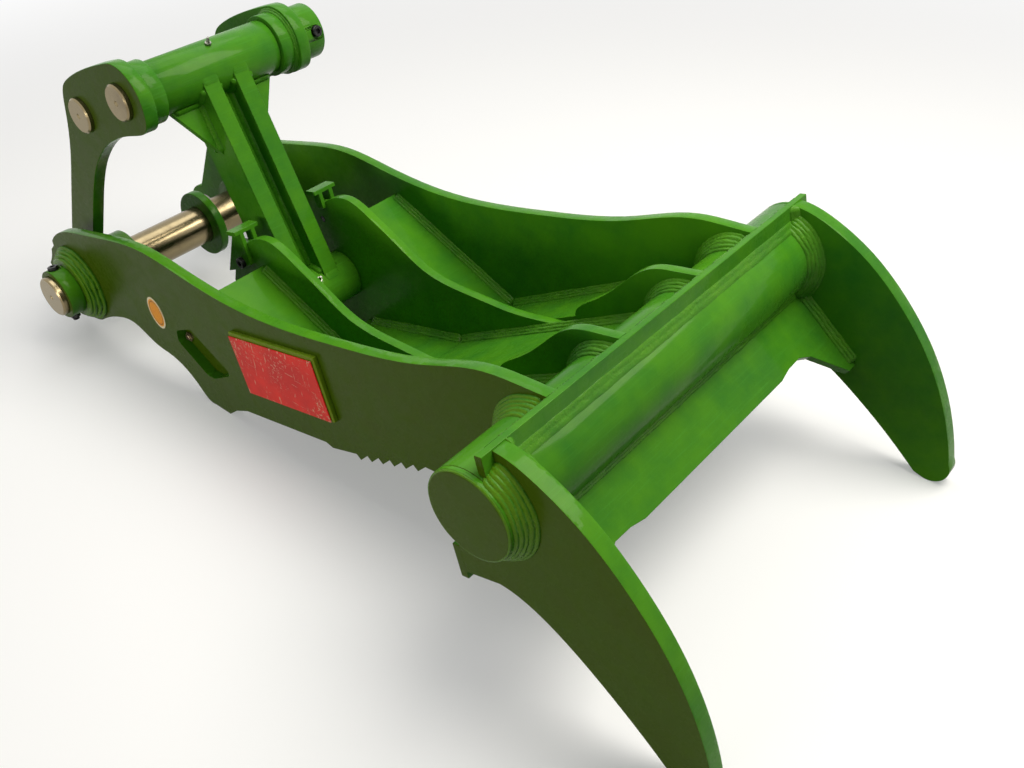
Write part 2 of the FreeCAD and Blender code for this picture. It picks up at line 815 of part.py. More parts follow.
def oval_label():
    """A small bare oval label on the right side plate."""
    ellipse = Part.Ellipse(FreeCAD.Vector(0, 0, 0), label_height / 2, label_length / 2).toShape()
    face = Part.Face(Part.Wire([ellipse]))
    face.rotate(FreeCAD.Vector(0, 0, 0), FreeCAD.Vector(0, 0, 1), 90)
    face.rotate(FreeCAD.Vector(0, 0, 0), FreeCAD.Vector(1, 0, 0), 90)
    face.translate(FreeCAD.Vector(label_x, -side_out, label_z))
    return face.extrude(FreeCAD.Vector(0, -label_plate, 0))


os.makedirs("parts", exist_ok=True)
keep_pair("side_plate", side_plate_piece())
keep_pair("pin_boss", pin_boss())
keep("main_pin", main_pin())
keep_pair("locking_collar", locking_collar())
keep("cross_bolts", *cross_bolts())
keep("cross_bolt_nuts", *cross_nuts())
keep("spacer_discs", *spacer_discs())
keep("cross_tube", cross_tube())
keep("tube_end_caps", *end_caps())
keep_pair("tine", tine())
keep("top_strip", top_strip())
keep("rear_cross_bar", cross_bar())
keep("skirt_plate", skirt())
keep_pair("floor_plate", outer_floor())
keep("floor_plate_centre", centre_floor())
keep_pair("inner_plate", inner_plate_piece())
keep_pair("front_gusset", front_gusset())
keep_pair("stop_bracket", stop_bracket())
keep("bracket_bolts", *bracket_bolts())
keep_pair("window_cover", window_cover_piece())
keep("window_bolts", *window_bolts())
keep("lower_link_pin", lower_pin())
keep("lower_pin_retainers", *pin_retainers())
keep("lower_pin_bolts", *retainer_bolts())
keep("h_link_upper_tube", upper_tube())
keep("h_link_lower_tube", lower_tube())
keep("h_link_upper_bushes", *bushes(upper_at, link_pin_radius, upper_tube_reach))
keep("h_link_lower_bushes", *bushes(lower_at, lower_pin_radius, lower_tube_reach))
keep_pair("h_link_rib", h_rib())
keep("h_link_web", h_web())
keep_pair("h_link_gusset", h_gusset())
keep("grease_fittings", grease_fitting(lower_at, lower_tube_radius, 40),
     grease_fitting(upper_at, upper_tube_radius, 60))
keep_pair("dog_link", dog_link())
keep("eye_bushes", *eye_bushes())
keep("link_rings", *link_rings())
collared_pin = link_pin(upper_at, link_out + far_collar_width + link_pin_stand)
keep("upper_link_pin", collared_pin.cut(far_bolt_hole()))
keep("cylinder_pin", link_pin(cylinder_at, link_out + link_pin_stand))
keep("link_pin_keepers", cylinder_pin_keeper())
keep("upper_pin_collar", far_collar())
keep("collar_bolt", far_bolt())
keep("collar_bolt_nut", far_nut())
keep("nameplate_backing", badge_backing_piece())
keep("nameplate", badge())
keep("oval_label", oval_label())
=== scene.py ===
"""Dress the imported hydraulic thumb: enamel, welds, pins, bolts, plates, floor, light and camera."""

import json
import logging
import math
from dataclasses import dataclass
from enum import Enum
from typing import Callable, Sequence

import bmesh
import bpy
from mathutils import Matrix, Vector, noise


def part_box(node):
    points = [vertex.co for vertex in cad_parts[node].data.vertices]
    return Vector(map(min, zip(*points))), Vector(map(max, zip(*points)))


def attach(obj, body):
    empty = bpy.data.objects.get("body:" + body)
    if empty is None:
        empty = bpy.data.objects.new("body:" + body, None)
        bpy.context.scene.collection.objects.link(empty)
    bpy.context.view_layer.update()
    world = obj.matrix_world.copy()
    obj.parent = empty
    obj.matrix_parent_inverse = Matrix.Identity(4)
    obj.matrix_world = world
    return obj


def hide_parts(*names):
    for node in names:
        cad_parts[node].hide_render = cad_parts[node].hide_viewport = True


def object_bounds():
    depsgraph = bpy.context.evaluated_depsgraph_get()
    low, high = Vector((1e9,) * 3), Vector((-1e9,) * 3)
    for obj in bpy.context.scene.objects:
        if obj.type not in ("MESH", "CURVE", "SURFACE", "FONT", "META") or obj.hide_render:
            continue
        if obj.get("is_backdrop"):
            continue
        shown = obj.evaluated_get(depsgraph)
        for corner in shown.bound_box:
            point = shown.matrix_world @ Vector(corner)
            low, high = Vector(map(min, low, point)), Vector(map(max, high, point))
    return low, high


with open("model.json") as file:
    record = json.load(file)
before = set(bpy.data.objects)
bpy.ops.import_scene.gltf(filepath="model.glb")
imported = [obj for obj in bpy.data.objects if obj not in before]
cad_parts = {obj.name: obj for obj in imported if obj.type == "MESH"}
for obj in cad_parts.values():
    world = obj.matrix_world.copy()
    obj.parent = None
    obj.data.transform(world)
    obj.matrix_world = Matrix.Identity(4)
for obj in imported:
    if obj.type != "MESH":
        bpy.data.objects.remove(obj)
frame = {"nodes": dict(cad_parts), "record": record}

log = logging.getLogger("thumb")

MM = 0.001
FULL_TURN = 2 * math.pi
SAME_POINT = 1e-6
SIDES = ((-1, "right"), (1, "left"))
WHITE = (1.0, 1.0, 1.0, 1.0)
Colour = tuple[float, float, float]
Place = tuple[float, float]
Span = tuple[float, float]


class Body(Enum):
    """The bodies that new pieces ride on."""

    THUMB = "thumb"
    H_LINK = "h_link"
    DRIVE_LINKS = "drive_links"


class Slot(Enum):
    """The record's material slots."""

    GREEN = "green_paint"
    PIN = "pin_steel"
    BUSH = "bush_steel"
    BOLT = "black_bolt"
    NIPPLE = "nipple_steel"
    RED = "red_plate"
    GOLD = "gold_label"


@dataclass(frozen=True)
class SideView:
    """Turns places of the level side view, in millimetres, into the row frame, in metres."""

    pitch: float = math.radians(11.3)

    def point(self, place: Place, across: float = 0.0) -> Vector:
        """Give a place of the side view in the row frame.

        Args:
            place: Forward and upward distance from the main pin, in millimetres.
            across: Distance to the left of the middle, in millimetres.

        Returns:
            The point in metres.
        """
        forward, upward = place
        cosine, sine = math.cos(self.pitch), math.sin(self.pitch)
        ahead = forward * cosine - upward * sine
        above = forward * sine + upward * cosine
        return Vector((ahead, across, above)) * MM

    def way(self, forward: float, upward: float) -> Vector:
        """Give a direction of the side view in the row frame."""
        return self.point((forward, upward)) / MM

    def level(self, point: Vector) -> Place:
        """Give a point of the row frame as a place of the level side view, in millimetres."""
        cosine, sine = math.cos(self.pitch), math.sin(self.pitch)
        return ((point.x * cosine + point.z * sine) / MM, (point.z * cosine - point.x * sine) / MM)


VIEW = SideView()


@dataclass(frozen=True)
class Round:
    """A round part across the width: its axis and radius, in metres."""

    x: float
    z: float
    radius: float
    low: float
    high: float

    @classmethod
    def of(cls, node: str) -> "Round":
        """Read a round node's axis, radius and ends from the frame."""
        low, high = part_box(node)
        return cls((low.x + high.x) / 2, (low.z + high.z) / 2, (high.z - low.z) / 2, low.y, high.y)

    @property
    def place(self) -> Place:
        """The axis as a place of the level side view, in millimetres."""
        return VIEW.level(self.foot)

    @property
    def foot(self) -> Vector:
        """The axis where it crosses the middle plane."""
        return Vector((self.x, 0, self.z))


def polar(centre: Place, radius: float, degrees: float) -> Place:
    """Give a place on a circle of the level side view."""
    turn = math.radians(degrees)
    return (centre[0] + radius * math.cos(turn), centre[1] + radius * math.sin(turn))


@dataclass(frozen=True)
class Grain:
    """The looks of a noise: its lumps per metre, its detail and its roughness."""

    scale: float
    detail: float = 2.0
    rough: float = 0.5


@dataclass(frozen=True)
class Relief:
    """The looks of a bump: its strength and its depth in metres."""

    strength: float
    depth: float


class Reading:
    """A shader value that takes part in ordinary arithmetic."""

    def __init__(self, tree: bpy.types.NodeTree, socket: bpy.types.NodeSocket) -> None:
        """Hold an output socket and the tree that it lies in."""
        self.tree = tree
        self.socket = socket

    def _join(self, operation: str, first: "Reading | float",
              second: "Reading | float") -> "Reading":
        """Add one Math node and give its result."""
        made = self.tree.nodes.new("ShaderNodeMath")
        made.operation = operation
        for entry, value in zip(made.inputs, (first, second)):
            if isinstance(value, Reading):
                self.tree.links.new(value.socket, entry)
            else:
                entry.default_value = value
        return Reading(self.tree, made.outputs[0])

    def __add__(self, other: "Reading | float") -> "Reading":
        """Add."""
        return self._join("ADD", self, other)

    __radd__ = __add__

    def __rsub__(self, other: float) -> "Reading":
        """Subtract this from a number."""
        return self._join("SUBTRACT", other, self)

    def __mul__(self, other: "Reading | float") -> "Reading":
        """Multiply."""
        return self._join("MULTIPLY", self, other)

    __rmul__ = __mul__

    def __pow__(self, other: float) -> "Reading":
        """Raise to a power."""
        return self._join("POWER", self, other)

    def top(self, other: "Reading | float") -> "Reading":
        """Give the greater of two values."""
        return self._join("MAXIMUM", self, other)

    def size(self) -> "Reading":
        """Give the value without its sign."""
        return self._join("ABSOLUTE", self, 0.0)


class Bench:
    """A material or a world being made: its nodes are added and linked here."""

    def __init__(self, owner: bpy.types.Material | bpy.types.World) -> None:
        """Open the nodes of what is being made."""
        owner.use_nodes = True
        self.owner = owner
        self.tree = owner.node_tree

    @classmethod
    def paint(cls, name: str) -> "Bench":
        """Open a new material."""
        return cls(bpy.data.materials.new(name))

    def add(self, kind: str, settings: dict | None = None,
            inputs: dict | None = None) -> bpy.types.Node:
        """Add a node.

        Args:
            kind: The node's type.
            settings: Attributes that are set first.
            inputs: Values, sockets or readings by socket name or number.

        Returns:
            The node.
        """
        node = self.tree.nodes.new(kind)
        for key, value in (settings or {}).items():
            setattr(node, key, value)
        for key, value in (inputs or {}).items():
            self.feed(node.inputs[key], value)
        return node

    def feed(self, entry: bpy.types.NodeSocket, value: object) -> None:
        """Link or set one input socket."""
        if isinstance(value, Reading):
            self.tree.links.new(value.socket, entry)
        elif isinstance(value, bpy.types.NodeSocket):
            self.tree.links.new(value, entry)
        else:
            entry.default_value = value

    def read(self, node: bpy.types.Node, output: str | int = 0) -> Reading:
        """Give a node's output as a reading."""
        return Reading(self.tree, node.outputs[output])

    def split(self, vector: bpy.types.NodeSocket) -> tuple[Reading, Reading, Reading]:
        """Give the parts of a vector along X, Y and Z."""
        made = self.add("ShaderNodeSeparateXYZ", {}, {0: vector})
        return self.read(made, 0), self.read(made, 1), self.read(made, 2)

    def place(self, scale: Colour = (1, 1, 1),
              shift: Colour = (0, 0, 0)) -> bpy.types.NodeSocket:
        """Give the object's own coordinates, moved and scaled."""
        where = self.add("ShaderNodeTexCoord").outputs["Object"]
        turn = self.add("ShaderNodeMapping", {},
                        {"Vector": where, "Location": shift, "Scale": scale})
        return turn.outputs[0]

    def noise(self, grain: Grain, vector: bpy.types.NodeSocket | None = None) -> Reading:
        """Give a smooth noise over the surface."""
        made = self.add("ShaderNodeTexNoise", {},
                        {"Scale": grain.scale, "Detail": grain.detail,
                         "Roughness": grain.rough, "Vector": vector or self.place()})
        return self.read(made)

    def ramp(self, value: Reading, span: Span) -> Reading:
        """Spread a value from one limit to another over nought to one."""
        made = self.add("ShaderNodeMapRange", {"interpolation_type": "SMOOTHSTEP"},
                        {"Value": value, "From Min": span[0], "From Max": span[1]})
        return self.read(made)

    def mix(self, factor: Reading, first: object, second: object) -> bpy.types.NodeSocket:
        """Mix two colours."""
        made = self.add("ShaderNodeMix", {"data_type": "RGBA"}, {"Factor": factor})
        for number, value in ((6, first), (7, second)):
            self.feed(made.inputs[number], (*value, 1.0) if isinstance(value, tuple) else value)
        return made.outputs[2]

    def bump(self, height: Reading, relief: Relief,
             normal: bpy.types.NodeSocket | None = None) -> bpy.types.NodeSocket:
        """Give a bumped normal."""
        made = self.add("ShaderNodeBump", {},
                        {"Height": height, "Strength": relief.strength, "Distance": relief.depth})
        if normal is not None:
            self.feed(made.inputs["Normal"], normal)
        return made.outputs[0]

    def looked_at(self) -> Reading:
        """Give one for the rays that show the background, and nought for those that light."""
        rays = self.add("ShaderNodeLightPath")
        seen = self.read(rays, "Is Camera Ray").top(self.read(rays, "Is Glossy Ray"))
        return seen.top(self.read(rays, "Is Transmission Ray"))

    def surface(self, fixed: dict, linked: dict) -> bpy.types.Material:
        """Set the shader's constants and what varies over the surface, and give the material."""
        shader = self.tree.nodes["Principled BSDF"]
        for key, value in {**fixed, **linked}.items():
            self.feed(shader.inputs[key], value)
        return self.owner


@dataclass(frozen=True)
class Enamel:
    """Thick green paint: flat on the outer faces, glossy on edges, tubes and welds; a painted shade
    turns the outer faces olive, and painted highlight streaks run along the edges.
    """

    name: str
    light: Colour = (0.072, 0.255, 0.008)
    deep: Colour = (0.024, 0.150, 0.014)
    # Painted shade: the olive that outward-looking outer faces get in place of their green.
    outer: Colour = (0.052, 0.094, 0.003)
    # Painted highlight: the lighter green of the streaks along edges and tubes.
    highlight_streak: Colour = (0.075, 0.31, 0.035)
    broad: Grain = Grain(2.6, 4.0, 0.6)
    blotches: Grain = Grain(19.0, 3.0, 0.55)
    broad_share: float = 0.6
    shade_span: Span = (0.20, 0.72)
    outer_shade_span: Span = (0.15, 0.21)
    outer_shade_least: float = 0.86
    outer_shade_blotch: float = 0.2
    edge_span: Span = (0.25, 0.75)
    streaks: Grain = Grain(1.0, 3.0, 0.6)
    streak_scale: Colour = (330.0, 9.0, 330.0)
    highlight_streak_span: Span = (0.5, 0.8)
    highlight_streak_share: float = 0.35
    streak_relief: Relief = Relief(0.35, 0.6 * MM)
    waves: Grain = Grain(9.0)
    wave_relief: Relief = Relief(0.30, 4.0 * MM)
    peel: Grain = Grain(260.0, 2.0, 0.6)
    peel_relief: Relief = Relief(0.35, 0.4 * MM)
    ripples: Grain = Grain(170.0, 4.0, 0.7)
    ripple_relief: Relief | None = None
    haze: Grain = Grain(31.0, 4.0, 0.65)
    haze_span: Span = (0.35, 0.8)
    haze_share: float = 0.20
    gloss: float = 0.22
    shine: float = 0.05
    shine_tint: tuple[float, ...] = (1.0, 0.85, 0.35, 1.0)
    coat: float = 0.11
    coat_least: float = 0.01
    coat_rough: float = 0.08

    def build(self) -> bpy.types.Material:
        """Make the paint."""
        bench = Bench.paint(self.name)
        where = bench.add("ShaderNodeTexCoord").outputs
        facing = bench.split(where["Normal"])[1]
        across = bench.split(where["Object"])[1]
        edge = 1 - bench.ramp(facing.size(), self.edge_span)
        blotch = bench.noise(self.blotches)
        highlight_streak = bench.noise(self.streaks, bench.place(self.streak_scale))
        colour = self._colour(bench, facing * across, edge, blotch, highlight_streak)
        skin = bench.bump(bench.noise(self.waves), self.wave_relief)
        skin = bench.bump(highlight_streak * edge, self.streak_relief, skin)
        skin = bench.bump(bench.noise(self.peel), self.peel_relief, skin)
        if self.ripple_relief:
            skin = bench.bump(bench.noise(self.ripples), self.ripple_relief, skin)
        haze = bench.ramp(bench.noise(self.haze), self.haze_span)
        return bench.surface(
            {"Specular IOR Level": self.shine, "Specular Tint": self.shine_tint,
             "Coat Roughness": self.coat_rough},
            {"Base Color": colour, "Roughness": self.gloss + haze * self.haze_share,
             "Normal": skin, "Coat Weight": self.coat_least + edge * self.coat})

    def _colour(self, bench: Bench, outward_shade: Reading, edge: Reading, blotch: Reading,
                highlight_streak: Reading) -> bpy.types.NodeSocket:
        """Mix the paint's colour, with its painted shade and painted highlight.

        Args:
            bench: The material being made.
            outward_shade: How far the surface lies out and looks outward across the width, which
                places the painted shade.
            edge: One on edges and tubes, nought on the faces of plates.
            blotch: The finer patches.
            highlight_streak: The brushed lines round the edges, which carry a bump and a painted
                highlight.

        Returns:
            The colour.
        """
        patches = bench.noise(self.broad) * self.broad_share + blotch * (1 - self.broad_share)
        colour = bench.mix(bench.ramp(patches, self.shade_span), self.deep, self.light)
        # Painted shade: outward-looking outer faces are turned olive.
        share = self.outer_shade_least + blotch * self.outer_shade_blotch
        colour = bench.mix(bench.ramp(outward_shade, self.outer_shade_span) * share, colour, self.outer)
        # Painted highlight: lighter streaks along edges and tubes.
        lines = edge * bench.ramp(highlight_streak, self.highlight_streak_span) * self.highlight_streak_share
        return bench.mix(lines, colour, self.highlight_streak)


@dataclass(frozen=True)
class TurnedSteel:
    """Bare turned steel with fine rings round its axis and stains."""

    name: str
    axis: Place
    tint: Colour = (0.28, 0.225, 0.125)
    stain: Colour = (0.12, 0.085, 0.045)
    rings: float = 900.0
    groove: Grain = Grain(1.0, 3.0, 0.6)
    groove_relief: Relief = Relief(0.25, 0.3 * MM)
    groove_rough: float = 0.12
    stains: Grain = Grain(11.0, 3.0, 0.6)
    stain_span: Span = (0.48, 0.80)
    stain_share: float = 0.55
    stain_rough: float = 0.06
    gloss: float = 0.16

    def build(self) -> bpy.types.Material:
        """Make the steel."""
        bench = Bench.paint(self.name)
        centre = (-self.axis[0], 0.0, -self.axis[1])
        across, along, upward = bench.split(bench.place((1, 1, 1), centre))
        radius = (across * across + upward * upward) ** 0.5
        joined = bench.add("ShaderNodeCombineXYZ", {},
                           {0: radius * self.rings, 1: along * self.rings})
        groove = bench.noise(self.groove, joined.outputs[0])
        stains = bench.ramp(bench.noise(self.stains), self.stain_span)
        colour = bench.mix(stains * self.stain_share, self.tint, self.stain)
        rough = self.gloss + groove * self.groove_rough + stains * self.stain_rough
        skin = bench.bump(groove, self.groove_relief)
        return bench.surface({"Metallic": 1.0},
                             {"Base Color": colour, "Roughness": rough, "Normal": skin})


@dataclass(frozen=True)
class DarkSteel:
    """Blackened or plated small steel."""

    name: str
    light: Colour = (0.055, 0.055, 0.052)
    dark: Colour = (0.012, 0.012, 0.012)
    gloss: float = 0.28
    metal: float = 0.85
    grain: Grain = Grain(160.0, 4.0, 0.65)
    grain_span: Span = (0.35, 0.7)
    grain_rough: float = 0.2
    grain_relief: Relief = Relief(0.25, 0.4 * MM)

    def build(self) -> bpy.types.Material:
        """Make the steel."""
        bench = Bench.paint(self.name)
        grain = bench.noise(self.grain)
        colour = bench.mix(bench.ramp(grain, self.grain_span), self.dark, self.light)
        skin = bench.bump(grain, self.grain_relief)
        rough = self.gloss + grain * self.grain_rough
        return bench.surface({"Metallic": self.metal},
                             {"Base Color": colour, "Roughness": rough, "Normal": skin})


@dataclass(frozen=True)
class RedPlate:
    """Thin satin red paint on a plate, scuffed down to pale metal."""

    name: str = "red_plate_paint"
    paint: Colour = (0.90, 0.030, 0.016)
    dull: Colour = (0.70, 0.020, 0.014)
    bare: Colour = (0.80, 0.52, 0.34)
    fading: Grain = Grain(11.0, 4.0, 0.6)
    fading_span: Span = (0.35, 0.7)
    specks: Grain = Grain(150.0, 4.0, 0.75)
    speck_span: Span = (0.56, 0.63)
    patches: Grain = Grain(13.0, 3.0, 0.6)
    patch_span: Span = (0.42, 0.72)
    scratch: Grain = Grain(1.0, 2.0, 0.6)
    upright_scale: Colour = (260.0, 1.0, 24.0)
    upright_span: Span = (0.66, 0.71)
    upright_share: float = 0.8
    level_scale: Colour = (26.0, 1.0, 320.0)
    level_span: Span = (0.68, 0.73)
    level_share: float = 0.6
    worn_span: Span = (0.0, 0.9)
    worn_rough: float = 0.15
    worn_relief: Relief = Relief(0.5, 0.4 * MM)
    gloss: float = 0.38
    shine: float = 0.12

    def build(self) -> bpy.types.Material:
        """Make the paint."""
        bench = Bench.paint(self.name)
        fading = bench.ramp(bench.noise(self.fading), self.fading_span)
        body = bench.mix(fading, self.dull, self.paint)
        specks = bench.ramp(bench.noise(self.specks), self.speck_span)
        patches = bench.ramp(bench.noise(self.patches), self.patch_span)
        upright = bench.noise(self.scratch, bench.place(self.upright_scale))
        level = bench.noise(self.scratch, bench.place(self.level_scale))
        worn = (specks * patches
                + bench.ramp(upright, self.upright_span) * self.upright_share
                + bench.ramp(level, self.level_span) * self.level_share)
        colour = bench.mix(bench.ramp(worn, self.worn_span), body, self.bare)
        skin = bench.bump(1 - worn, self.worn_relief)
        rough = self.gloss + worn * self.worn_rough
        return bench.surface({"Specular IOR Level": self.shine},
                             {"Base Color": colour, "Roughness": rough, "Normal": skin})


@dataclass(frozen=True)
class GoldFoil:
    """A foil label: a pale rim, a dark line and a bare orange field."""

    centre: Vector
    half: Place = (28.5 * MM, 40.5 * MM)
    name: str = "gold_foil"
    rim: Colour = (0.95, 0.84, 0.58)
    line: Colour = (0.20, 0.055, 0.012)
    field: Colour = (1.00, 0.48, 0.02)
    shade: Colour = (0.85, 0.26, 0.012)
    grain: Grain = Grain(420.0, 3.0, 0.7)
    grain_span: Span = (0.35, 0.65)
    line_from: Span = (0.70, 0.72)
    line_to: Span = (0.76, 0.78)
    line_share: float = 0.8
    rim_from: Span = (0.86, 0.88)
    gloss: float = 0.4
    shine: float = 0.12

    def build(self) -> bpy.types.Material:
        """Make the foil."""
        bench = Bench.paint(self.name)
        turned = bench.add("ShaderNodeMapping", {"vector_type": "TEXTURE"},
                           {"Vector": bench.add("ShaderNodeTexCoord").outputs["Object"],
                            "Location": self.centre, "Rotation": (0.0, -VIEW.pitch, 0.0),
                            "Scale": (self.half[0], 1.0, self.half[1])})
        across, _, upward = bench.split(turned.outputs[0])
        radius = (across * across + upward * upward) ** 0.5
        grain = bench.ramp(bench.noise(self.grain), self.grain_span)
        colour = bench.mix(grain, self.shade, self.field)
        line = bench.ramp(radius, self.line_from) * (1 - bench.ramp(radius, self.line_to))
        colour = bench.mix(line * self.line_share, colour, self.line)
        colour = bench.mix(bench.ramp(radius, self.rim_from), colour, self.rim)
        return bench.surface({"Specular IOR Level": self.shine, "Roughness": self.gloss},
                             {"Base Color": colour})


class Shop:
    """Makes each finish once and hands it out."""

    def __init__(self) -> None:
        """Make the finishes that are not tied to one axis."""
        low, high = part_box("oval_label")
        self.plate = Enamel("green_enamel").build()
        # The outer colours below are painted shade on outward-looking faces.
        self.weld = Enamel("green_enamel_on_weld", light=(0.085, 0.275, 0.010),
                           outer=(0.090, 0.225, 0.006), peel_relief=Relief(0.5, 0.4 * MM),
                           ripple_relief=Relief(0.75, 3.0 * MM), gloss=0.12, shine=0.10,
                           coat=0.12).build()
        # Painted light: the nameplate backing gets a lighter, yellower green that stands for its lit
        # edges.
        self.backing_painted_lit = Enamel("green_enamel_painted_lit_on_backing", light=(0.21, 0.33, 0.015),
                              deep=(0.12, 0.24, 0.010), outer=(0.16, 0.25, 0.010)).build()
        self.bush = TurnedSteel("bush_steel_finish", (0.0, 0.0), (0.32, 0.30, 0.27)).build()
        self.bolt = DarkSteel("black_oxide").build()
        self.nipple = DarkSteel("zinc_plate", light=(0.34, 0.33, 0.28), dark=(0.14, 0.14, 0.12),
                                gloss=0.24, metal=1.0).build()
        self.stud = DarkSteel("bare_stud", light=(0.44, 0.34, 0.22), dark=(0.18, 0.13, 0.08),
                              gloss=0.30, metal=1.0).build()
        self.red = RedPlate().build()
        self.gold = GoldFoil((low + high) / 2).build()

    def of(self, slot: Slot) -> bpy.types.Material:
        """Give the finish of a slot; the turned pins that replace the pin nodes have their own."""
        return {Slot.GREEN: self.plate, Slot.PIN: self.bush, Slot.BUSH: self.bush,
                Slot.BOLT: self.bolt, Slot.NIPPLE: self.nipple, Slot.RED: self.red,
                Slot.GOLD: self.gold}[slot]


@dataclass(frozen=True)
class Seam:
    """Lays a fillet weld of several flat passes as one closed shell, in metres."""

    first_leg: float = 20.0 * MM
    second_leg: float = 20.0 * MM
    passes: int = 4
    rows: int = 5
    step: float = 2.6 * MM
    crown: float = 0.24
    ripple: float = 0.30
    pitch: float = 6.5 * MM
    drift: float = 0.34
    sink: float = 0.5 * MM
    drift_pace: float = 34.0
    drift_lanes: float = 3.0
    rough_pace: float = 70.0
    rough_lanes: float = 5.0
    fat: float = 0.10
    fat_pace: float = 24.0
    lane_lag: float = 1.9
    roundness: float = 0.75
    taper_reach: float = 0.7
    taper_least: float = 0.04
    fewest_steps: int = 6

    def around(self, mesh: bmesh.types.BMesh, part: Round, face: float, side: int,
               start: float = 0.0, end: float = 360.0) -> None:
        """Weld a round part to the face of a plate.

        Args:
            mesh: The mesh that takes the weld.
            part: The round part.
            face: The plate's face across the width.
            side: The way that the face looks, 1 or -1.
            start: Where the weld starts, in degrees of the level side view, up from the front.
            end: Where it ends, in the same degrees.
        """
        begin = math.radians(start) + VIEW.pitch
        sweep = math.radians(end - start)
        axis = Vector((part.x, face, part.z))

        def where(gone: float) -> tuple[Vector, Vector, Vector]:
            """Give the corner and its two ways at one place."""
            angle = begin + sweep * gone
            out = Vector((math.cos(angle), 0, math.sin(angle)))
            return axis + out * part.radius, out, Vector((0, side, 0))

        self._lay(mesh, sweep * part.radius, end - start >= 360, where)

    def corner(self, mesh: bmesh.types.BMesh, start: Vector, end: Vector, first: Vector,
               second: Vector) -> None:
        """Weld along a straight corner.

        Args:
            mesh: The mesh that takes the weld.
            start: One end of the corner.
            end: The other end.
            first: The way along one face, at right angles to the corner.
            second: The way along the other face.
        """
        self._lay(mesh, (end - start).length, False,
                  lambda gone: (start + (end - start) * gone, first, second))

    def _lay(self, mesh: bmesh.types.BMesh, length: float, closed: bool,
             where: Callable[[float], tuple[Vector, Vector, Vector]]) -> None:
        """Sweep the scalloped outline of the weld along its corner."""
        outer = self.passes * self.rows
        lines = outer + 2
        steps = max(self.fewest_steps, round(length / self.step))
        made = bmesh.ops.create_grid(mesh, x_segments=steps, y_segments=lines, size=0.5)
        for vert in made["verts"]:
            gone = vert.co.x + 0.5
            number = round((vert.co.y + 0.5) * lines) % lines
            core, first, second = where(gone)
            if number > outer:
                vert.co = core - (first + second) * (2 * self.sink)
                continue
            run = length * gone
            taper = 1.0 if closed else self._taper(min(run, length - run))
            first_size, second_size = self._outline(number / outer, run, core)
            vert.co = (core + first * (first_size * taper - self.sink)
                       + second * (second_size * taper - self.sink))

    def _taper(self, left: float) -> float:
        """Round the weld off towards an open end."""
        reach = min(self.first_leg, self.second_leg) * self.taper_reach
        gone = max(0.0, 1 - left / reach)
        return math.sqrt(max(self.taper_least, 1 - gone * gone))

    def _outline(self, share: float, run: float, core: Vector) -> Place:
        """Give one point of the outline along the two legs."""
        slope = math.hypot(self.first_leg, self.second_leg)
        sway = noise.noise(core * self.drift_pace + Vector((share * self.drift_lanes, 0, 0)))
        shift = self.drift * sway * math.sin(math.pi * share)
        phase = (share + shift / self.passes) * self.passes
        lane = min(math.floor(phase), self.passes - 1)
        wave = math.sin(FULL_TURN * run / self.pitch + lane * self.lane_lag)
        rough = noise.noise(core * self.rough_pace + Vector((lane * self.rough_lanes, 0, 0)))
        swell = 1 + self.ripple * (0.5 * wave + rough)
        bulge = abs(math.sin(math.pi * phase)) ** self.roundness
        height = self.crown * slope / self.passes * bulge * swell
        fat = 1 + self.fat * noise.noise(core * self.fat_pace)
        return (self.first_leg * (1 - share) * fat + height * self.second_leg / slope,
                self.second_leg * share * fat + height * self.first_leg / slope)


@dataclass
class Piece:
    """A new piece of the object: its name, body and slot."""

    name: str
    body: Body
    slot: Slot = Slot.GREEN

    def finish(self, mesh: bmesh.types.BMesh, material: bpy.types.Material,
               sharp: float = 40.0) -> bpy.types.Object:
        """Close the mesh, make it an object and let it ride.

        Args:
            mesh: The finished shape in the row frame.
            material: Its finish.
            sharp: Edges that turn by more degrees than this stay sharp.

        Returns:
            The piece.
        """
        bmesh.ops.remove_doubles(mesh, verts=mesh.verts, dist=SAME_POINT)
        rim = [edge for edge in mesh.edges if edge.is_boundary]
        if rim:
            bmesh.ops.holes_fill(mesh, edges=rim, sides=0)
        bmesh.ops.recalc_face_normals(mesh, faces=mesh.faces)
        data = bpy.data.meshes.new(self.name)
        mesh.to_mesh(data)
        mesh.free()
        data.shade_smooth()
        data.set_sharp_from_angle(angle=math.radians(sharp))
        data.materials.append(material)
        made = bpy.data.objects.new(self.name, data)
        bpy.context.scene.collection.objects.link(made)
        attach(made, self.body.value)
        log.info("%s rides on %s with %d faces", self.name, self.body.value, len(data.polygons))
        return made


@dataclass(frozen=True)
class Corner:
    """One corner of a turned outline, in metres; a sided one follows a hexagon."""

    radius: float
    height: float
    sided: bool = False


@dataclass(frozen=True)
class Lathe:
    """Turns outlines round any axis."""

    steps: int = 96

    def turn(self, mesh: bmesh.types.BMesh, place: Matrix, outline: Sequence[Corner]) -> None:
        """Turn an outline round the local Z axis of a placement.

        Args:
            mesh: The mesh that takes the shape.
            place: Where the outline's axis stands.
            outline: Its corners from one end of the axis to the other.
        """
        last = len(outline) - 1
        flat = math.pi / 3
        made = bmesh.ops.create_grid(mesh, x_segments=self.steps, y_segments=last, size=0.5)
        for vert in made["verts"]:
            turn = (vert.co.x + 0.5) * FULL_TURN
            spot = outline[round((vert.co.y + 0.5) * last)]
            radius = spot.radius
            if spot.sided:
                radius *= math.cos(flat / 2) / math.cos(turn % flat - flat / 2)
            ring = Vector((radius * math.cos(turn), radius * math.sin(turn), spot.height))
            vert.co = place @ ring

    @staticmethod
    def stand(foot: Vector, way: Vector) -> Matrix:
        """Give the placement with its foot at a point and its axis along a way."""
        return Matrix.Translation(foot) @ way.to_track_quat("Z", "Y").to_matrix().to_4x4()


